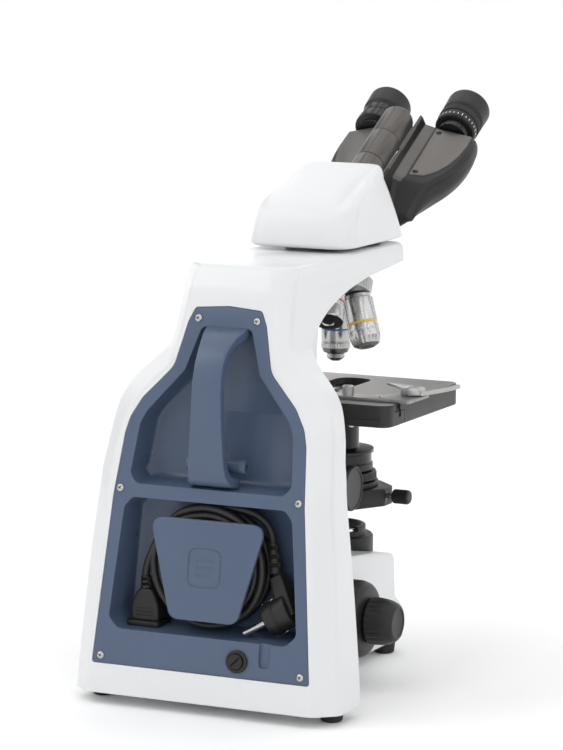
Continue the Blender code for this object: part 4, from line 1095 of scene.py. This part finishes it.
def condenser_barrel():
    profile = soften([(0, 110.5), (24.3, 110.5), (24.3, 122.9), (31.6, 122.9), (31.6, 126.4), (24.0, 127),
                      (24.0, 134), (27.6, 134.6), (27.6, 139.4), (26.6, 140), (26.6, 146.6), (28.2, 147),
                      (28.2, 149.6), (17.5, 150.4), (17.5, 189.2), (12.4, 189.4), (12.4, 191.6),
                      (10.6, 191.6), (10.6, 184), (0, 184)], 0.4)
    tube = build("condenser_body", turned(profile), "black_gloss", OPTIC_FOOT, soft=35)
    paint(tube, "stage_side", lambda c, n: 134.2 < c.z < 139.7 or 122.5 < c.z < 126.8)
    build("condenser_lens", turned([(0, 184.3), (10.3, 184.3), (10.3, 190), (8.5, 191.2), (6, 192),
                                    (3, 192.5), (0, 192.6)]), "glass", OPTIC_FOOT)
    clamp = soften([(0, 0), (3.0, 0), (3.0, 1.2), (3.0, 4.4), (2.4, 5.0), (0, 5.0)], 0.2)
    build("condenser_screw", turned(clamp, ribs=(1.3, 4.4, 20, 0.3, 1)), "chrome",
          (-14.6, OPTIC_Y + 9.6, 169.5), basis((-0.83, 0.55, 0)), node="condenser_body")
    iris = soften([(24.3, 127.3), (29.6, 127.3), (30.5, 128), (30.4, 129), (30.4, 132.0), (29.6, 133.6),
                   (24.3, 133.6)], 0.25)
    build("iris_ring", turned(iris, bore=True, ribs=(128.6, 132.4, 84, 0.35, 1)), "black", OPTIC_FOOT)


def condenser_controls():
    screw = soften([(0, 26), (1.7, 26), (1.7, 42), (1.7, 44.5), (4.6, 44.5), (5.2, 45.4), (5.2, 46.4),
                    (5.2, 55), (5.0, 56), (4.2, 57), (0, 57)], 0.25)
    for side, turn in (("left", FACING_LEFT), ("right", FACING_RIGHT)):
        knob = build("centring_screw_" + side, turned(screw, ribs=(46.3, 55.6, 24, 0.35, 1)), "black",
                     CENTRING_AT, turn)
        paint(knob, "chrome", lambda c, n: math.hypot(c.x, c.y) < 1.9 and c.z < 44.4)
    disc = soften([(0, 2), (4, 2), (4, 44), (15, 44), (15.9, 45), (15.9, 46.2), (15.9, 48.6), (15.9, 49.5),
                   (14.8, 50.8), (13.9, 50.6), (13.4, 49.9), (0, 50.2)], 0.25)
    knob = build("condenser_knob", turned(disc, ribs=(46.1, 48.7, 64, 0.35, 1)), "black",
                 (0, *CONDENSER_KNOB), FACING_LEFT)
    paint(knob, "stage_side", lambda c, n: c.z > 49.5 and math.hypot(c.x, c.y) < 13.4)


stage_carriage()
stage_plate()
stage_knobs()
slide_holder()
slide_finger()
condenser_carrier()
condenser_barrel()
condenser_controls()


# ---------------------------------------------------------------- turret and objectives

COLLAR = [(0, GAP), (9.6, GAP), (9.6, 4)]
LONG_BARREL = COLLAR + [(10.4, 4.6), (10.4, 20.6), (10.1, 20.8), (10.1, 21.6), (10.4, 21.8)]
# Hole in the turret, outline, painted bands, and the flutes' height and number.
OBJECTIVES = {
    "objective_40x": (0, LONG_BARREL + [
        (10.4, 29.8), (10.0, 30.0), (10.0, 30.8), (10.4, 31.0), (10.4, 34.6), (8.9, 38.0), (6.4, 39.0),
        (6.4, 42), (3.4, 44.3), (0, 44.3)], ((20.7, 21.7, "ring_blue"),), (31.1, 34.7, 30)),
    "objective_10x": (1, [
        (0, GAP), (9.8, GAP), (9.8, 3), (11, 3.4), (11, 20.4), (10.7, 20.6), (10.7, 22.0), (11, 22.2),
        (11, 26.4), (10.8, 26.6), (11, 26.8), (11, 31.6), (10.0, 35.0), (9.2, 36.6), (6.0, 38.4),
        (4.6, 37.8), (0, 38.2)], ((20.5, 22.1, "yellow"),), (31.4, 36.7, 14)),
    "objective_4x": (2, COLLAR + [
        (10.8, 4.6), (10.8, 14.4), (10.5, 14.6), (10.5, 15.8), (10.8, 16.0), (10.8, 18.4), (10.6, 18.6),
        (10.6, 19.2), (10.8, 19.4), (10.8, 28.6), (10.4, 29.6), (4.4, 30.6), (3.8, 29.4), (0, 29.4)],
        ((14.5, 15.9, "red"), (18.5, 19.3, "print")), (22.0, 27.0, 40)),
    "objective_100x": (4, LONG_BARREL + [
        (10.4, 36), (7.6, 39), (5.2, 40), (2.2, 44.5), (0, 44.6)],
        ((20.7, 21.7, "print"),), (28.0, 35.0, 40)),
}


def turret():
    # The top is a cone, so that the objective in use stands upright on the tilted turret.
    fall = math.tan(TURRET_TILT)
    profile = soften([(0, 7.0), (6, 6.6), (10, (TURRET_RADIUS - 10) * fall),
                      (33.4, (TURRET_RADIUS - 33.4) * fall), (34, -4.4), (34, -4.8), (34, -11.6),
                      (34, -12.2), (33.2, -13), (0, -13)], 0.3)
    build("nosepiece", turned(profile, ribs=(-11.7, -4.7, 60, 0.7, 2)), "steel", TURRET_CENTRE,
          TURRET_BASIS)
    build("turret_mount", rod(22, -13 - GAP, -16.9), "hull", TURRET_CENTRE, TURRET_BASIS)
    for name, (hole, outline, bands, (low, high, count)) in OBJECTIVES.items():
        shoulder, axis = objective_place(hole)
        barrel = turned(soften(outline, 0.2), ribs=(low, high, count, 0.4, 6))
        made = build(name, barrel, "chrome", shoulder, basis(axis, (1, 0, 0)), soft=30)
        for start, end, finish in bands:
            paint(made, finish, lambda c, n, a=start, b=end: a < c.z < b and n.z * n.z < 0.5)
        paint(made, "black_gloss", lambda c, n: n.z > 0.6 and math.hypot(c.x, c.y) < 3.9)
    paint(PIECES["objective_4x"][0], "hull", lambda c, n: n.z > 0.6)


turret()


# ---------------------------------------------------------------- head and eyepieces

def head():
    collar = soften([(28, ARM_TOP + GAP), (33, ARM_TOP + GAP), (35, 300.0), (28, 300)], 0.2)
    # A near-black ring fills the gap between arm and head: painted shadow in the gap.
    build("head_ring", turned(collar, bore=True), "shadow", HEAD_FOOT)
    levels = [(300.6, 37.4, -58.8, -162.2), (301.2, 39.0, -57.4, -163.2), (302.6, 39.9, -56.5, -163.6),
              (305, 39.9, -56.8, -162.5), (310, 39.6, -58.3, -159.9), (318, 38.9, -61.6, -155.7),
              (325, 38.2, -65.6, -151.7), (329, 37.7, -70.0, -149.4), (333, 37.0, -77.5, -147.6),
              (337, 36.2, -87.0, -145.8), (341, 35.2, -97.5, -144.2), (345, 34.0, -109.0, -142.4),
              (348.5, 32.4, -118.5, -141.1), (351, 30.6, -126.0, -140.2), (352.8, 28.4, -130.8, -139.7),
              (353.8, 25.6, -133.0, -139.2), (354.2, 21.6, -134.0, -138.4)]
    rings = []
    for z, half, back, front in eased(levels, 3):
        depth = back - front
        corner = min(17, depth * 0.47, half * 0.6)
        outline = fillet(rectangle(half * 2, depth, (0, (back + front) / 2)), corner, 4)
        rings.append([(x, y, z) for x, y in outline])
    housing = build("head_housing", skin(rings), "white", soft=40)
    socket = soften([(0, -70), (25.5, -70), (25.5, -36.6), (24.5, -35.6), (0, -35.6)], 0.5)
    join(housing, turned(socket), TUBE_ORIGIN, TUBE_BASIS)
    cut(housing, rod(24, 290, 330), HEAD_FOOT)
    tube = soften([(0, -35.3), (19, -35.3), (19, -31), (11.9, -30), (11.9, -0.6), (8, -0.6), (8, 60.6),
                   (10.6, 60.6), (11.2, 61.2), (10.4, 62.6), (0, 62.6)], 0.3)
    build("central_tube", turned(tube), "tube", TUBE_ORIGIN, TUBE_BASIS)


def wing_rings(sign, stations):
    """Cross-sections of a wing's hull; a station is (place along the tube, inner, outer, top, bottom)."""
    rings = []
    for s, inner, outer, top, bottom in stations:
        crown = top - COVER_FALL * (outer - 21)
        bulge = (crown + bottom) / 2
        shoulder = inner + 4 + 6.4 * min(1.0, max(0.0, (s - 2) / 10))
        ring = [(10.75, -5.4), (12.3, -7.2), (13.6, top + 2.8), (shoulder, top), (outer - 3.0, crown),
                (outer, crown - 4), (outer + 1.0, bulge), (outer - 3, bottom + 4.5), (outer - 10, bottom),
                (inner + 6, bottom + 1), (inner + 1, bottom + 8)]
        shape = fillet(ring, [0.2, 0.4, 0.8, 0.8, 1.5, 3, 9, 6, 6, 5, 5], 1)
        rings.append([(sign * p, u, s) for p, u in shape])
    return rings


def wing(side, sign, knuckle):
    """One half of the binocular: a bulged hull under a flat, screwed cover, and its knuckle."""
    rows = [(-13, 13.2, 30.6, -31.0, -44.2), (-4, 12.8, 33.6, -25.0, -45.0), (6, 12.2, 38.2, -17.6, -45.6),
            (12, 10.8, 41.2, -16.2, -45.8), (24, 10.6, 47.4, -16, -46), (38, 10.6, 52, -16, -46),
            (54, 10.6, 54, -16, -45.4), (68, 10.6, 53.4, -16, -43.4), (75.2, 10.6, 51.6, -16, -41.6)]
    ends = [(-14, 13.8, 29.4, -32.0, -43.2)], [(76, 11.4, 50.8, -16.8, -40.8)]
    made = build("wing_" + side, skin(wing_rings(sign, ends[0] + eased(rows, 4) + ends[1])), "hull",
                 TUBE_ORIGIN, WING_BASIS, soft=32)
    low, high = knuckle
    web = [(sign * x, u) for x, u in ((9.2, -3.4), (12.8, -7.2), (13.6, -11.6), (9.0, -11.6))]
    join(made, prism(fillet(web, 0.5, 1), "Z", max(low, 12.5), high), TUBE_ORIGIN, WING_BASIS)
    sleeve = soften([(8.3, low), (11.8, low), (11.8, high), (8.3, high)], 0.3)
    join(made, turned(sleeve, bore=True), TUBE_ORIGIN, WING_BASIS)
    paint(made, "tube", lambda c, n: abs(c.x) < 21.3 and n.y > 0.3 and c.z > 5.5)
    paint(made, "tube", lambda c, n: math.hypot(c.x, c.y) < 14.5 and c.z > 5.5)
    wing_cover(side, sign)


def wing_cover(side, sign):
    """Flat cover plate with an open seam round it, and its two screws."""
    def surface(rise):
        return lambda point: -11.38 - COVER_FALL * abs(point[0]) + rise

    edge = [(22.6, 14.0), (22.6, 74.0), (49.4, 74.0), (50.0, 62), (48.6, 48), (45.2, 35), (40.0, 24.5),
            (33.0, 16.4)]
    outline = fillet([(sign * x, s) for x, s in edge], [0.8, 0.8, 0.8, 16, 16, 16, 14, 5], 2)
    cover = build("wing_cover_" + side, prism(outline, "Y", surface(-0.8), surface(0.45)), "cover",
                  TUBE_ORIGIN, WING_BASIS, node="wing_" + side)
    bevel(cover, 0.2, 2, 50)
    turning = WING_BASIS.to_3x3()
    normal = (turning @ Vector((sign * COVER_FALL, 1.0, 0.0))).normalized()
    head_profile = soften([(0, -1.2), (1.75, -1.2), (1.75, 0.0), (1.2, 0.2), (0, 0.22)], 0.15)
    for number, s in enumerate((18.5, 69.5), 1):
        spot = TUBE_ORIGIN + turning @ Vector((sign * 26.0, surface(0.45)((26.0, 0)), s))
        twist = basis(normal, turning @ Vector((0.4 * number, 0, 1)))
        # The hole round each screw head takes the near-black finish: painted shadow in the hole.
        cut(cover, rod(2.1, -0.35, 3, 40), spot, twist, "shadow")
        screw = build("wing_screw_%s_%d" % (side, number), turned(head_profile, 32), "black_gloss", spot,
                      twist, node="wing_" + side)
        cross_slot(screw, (2.2, 0.45), -0.2, 2, spot, twist)


def eye_centre(sign):
    return TUBE_ORIGIN + Vector((sign * EYE_SIDE, 0, 0)) - TUBE_UP * EYE_DROP


def eyepieces():
    cup = soften([(14.8, 98.4), (16.2, 100), (16.3, 104), (16.6, 112.6), (16.6, 114.8), (16.0, 116.1),
                  (13.4, 116.4), (12.8, 113), (12.4, 108), (9.6, 107.2), (0, 107)], 0.5)
    left = soften([(0, 76.3), (11.4, 76.3), (11.4, 97.6), (14.4, 97.8)], 0.2) + cup
    right = soften([(0, 76.3), (11.4, 76.3), (11.4, 80), (15.2, 80.2), (15.4, 80.8), (15.4, 86.6),
                    (15.2, 87.2), (14.6, 87.4), (14.6, 90.2), (14.9, 90.4), (14.9, 96.6), (14.5, 97.0),
                    (14.5, 98.0)], 0.2) + cup
    lens = [(0, 107.0), (9.4, 107.1), (9.0, 107.7), (6, 108.5), (3, 108.9), (0, 109)]
    for side, sign, profile in (("left", -1, left), ("right", 1, right)):
        made = build("eyepiece_" + side, turned(profile), "black", eye_centre(sign), TUBE_BASIS, soft=35)
        paint(made, "black_gloss", lambda c, n: c.z < 97.8)
        build("eye_lens_" + side, turned(lens), "glass", eye_centre(sign), TUBE_BASIS,
              node="eyepiece_" + side)


def diopter_ring():
    """The left eyepiece's dioptre ring, with its scale and two dots."""
    centre = eye_centre(-1)
    ring = soften([(11.6, 83), (14.6, 83), (15.6, 84.4), (15.6, 89.8), (15.2, 90.0), (15.2, 90.5),
                   (16.2, 90.7), (16.2, 96.6), (15.4, 97.2), (11.7, 97.2)], 0.2)
    build("diopter_ring", turned(ring, bore=True, ribs=(90.75, 96.7, 66, 0.5, 1)), "black", centre,
          TUBE_BASIS)
    for tick in range(30):
        spin = TUBE_BASIS @ Matrix.Rotation(math.radians(tick * 12), 4, "Z")
        length = 2.8 if tick % 5 == 0 else 1.9
        mark = slab(0.1, 0.5, 85.0, 85.0 + length, (15.63, 0))
        build("diopter_tick_%d" % tick, mark, "print", centre, spin, node="diopter_ring")
    for number, angle in enumerate((40, 220), 1):
        spin = TUBE_BASIS @ Matrix.Rotation(math.radians(angle), 4, "Z")
        spin = spin @ Matrix.Rotation(math.pi / 2, 4, "Y")
        build("diopter_dot_%d" % number, rod(0.8, 15.56, 15.68, 24), "print", centre + TUBE_AXIS * 88.6,
              spin, node="diopter_ring")


head()
wing("left", -1, (31.2, 60.2))
wing("right", 1, (-0.2, 30.8))
eyepieces()
diopter_ring()


# ---------------------------------------------------------------- put everything on its body

def hand_over():
    """Join the small pieces that share a node, shade every piece, and ride it on its body."""
    for name, (made, node, soft) in PIECES.items():
        data = made.data
        data.shade_smooth()
        data.set_sharp_from_angle(angle=math.radians(soft))
    for node in sorted({entry[1] for entry in PIECES.values() if entry[1]}):
        family = [made for made, owner, soft in PIECES.values() if owner == node]
        main = PIECES[node][0]
        bpy.ops.object.select_all(action="DESELECT")
        for made in family + [main]:
            made.select_set(True)
        bpy.context.view_layer.objects.active = main
        bpy.ops.object.join()
    for name, (made, node, soft) in PIECES.items():
        if node:
            continue
        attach(made, BODY_OF[name])
        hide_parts(name)


hand_over()


# ---------------------------------------------------------------- studio

LIGHT_TARGET = (0, 0, 0.2)
LIGHTS = (("key", (1.6, 1.1, 2.2), 1.4, 9.0), ("fill", (-1.9, 1.4, 1.4), 1.6, 3.0),
          ("top", (0.0, -0.4, 2.6), 1.8, 5.0))      # place and side in metres, power in watts
DARK_BAND = (0.22, (0.24, 0.24, 0.25, 1.0))        # place on the ramp, and colour
BRIGHT_BAND = (0.42, (1.42, 1.42, 1.42, 1.0))
SKY_STRENGTH = 1.08
BAND_SCALE = 0.95
BAND_WAVER = 0.2
FLOOR_RADII = (0.5, 3.0, 40.0)                     # metres
PAPER_WHITE = 0.955


def floor():
    mesh = bmesh.new()
    rings = [[mesh.verts.new((*point, 0.0)) for point in circle(radius, ROUND)] for radius in FLOOR_RADII]
    mesh.faces.new(rings[0])
    for low, high in zip(rings, rings[1:]):
        for i in range(ROUND):
            j = (i + 1) % ROUND
            mesh.faces.new((low[i], high[i], high[j], low[j]))
    bmesh.ops.recalc_face_normals(mesh, faces=mesh.faces)
    data = bpy.data.meshes.new("floor")
    mesh.to_mesh(data)
    mesh.free()
    made = bpy.data.objects.new("floor", data)
    bpy.context.collection.objects.link(made)
    paper = shaded("studio_paper", (PAPER_WHITE,) * 3, 0.75, grain=(400, 0.02, 0.05), drift=0.004,
                   specular=0.2)
    data.materials.append(paper)


def soft_box(name, at, side, power):
    data = bpy.data.lights.new(name, "AREA")
    data.shape = "RECTANGLE"
    data.size = data.size_y = side
    data.energy = power
    made = bpy.data.objects.new(name, data)
    bpy.context.collection.objects.link(made)
    made.location = at
    made.rotation_euler = (Vector(LIGHT_TARGET) - Vector(at)).to_track_quat("-Z", "Y").to_euler()


def surroundings():
    """A white room with soft darker bands, which only reflections and far backgrounds show."""
    world = bpy.data.worlds.new("studio")
    world.use_nodes = True
    tree = world.node_tree
    back = tree.nodes["Background"]
    back.inputs["Strength"].default_value = SKY_STRENGTH
    place_at = tree.nodes.new("ShaderNodeTexCoord")
    bands = tree.nodes.new("ShaderNodeTexWave")
    bands.wave_type = "BANDS"
    bands.bands_direction = "X"
    bands.inputs["Scale"].default_value = BAND_SCALE
    bands.inputs["Distortion"].default_value = BAND_WAVER
    ramp = tree.nodes.new("ShaderNodeValToRGB")
    for stop, (position, colour) in zip(ramp.color_ramp.elements, (DARK_BAND, BRIGHT_BAND)):
        stop.position = position
        stop.color = colour
    tree.links.new(place_at.outputs["Generated"], bands.inputs["Vector"])
    tree.links.new(bands.outputs["Fac"], ramp.inputs["Fac"])
    tree.links.new(ramp.outputs["Color"], back.inputs["Color"])
    bpy.context.scene.world = world
    bpy.context.scene.view_settings.view_transform = "Standard"


floor()
surroundings()
for light in LIGHTS:
    soft_box(*light)
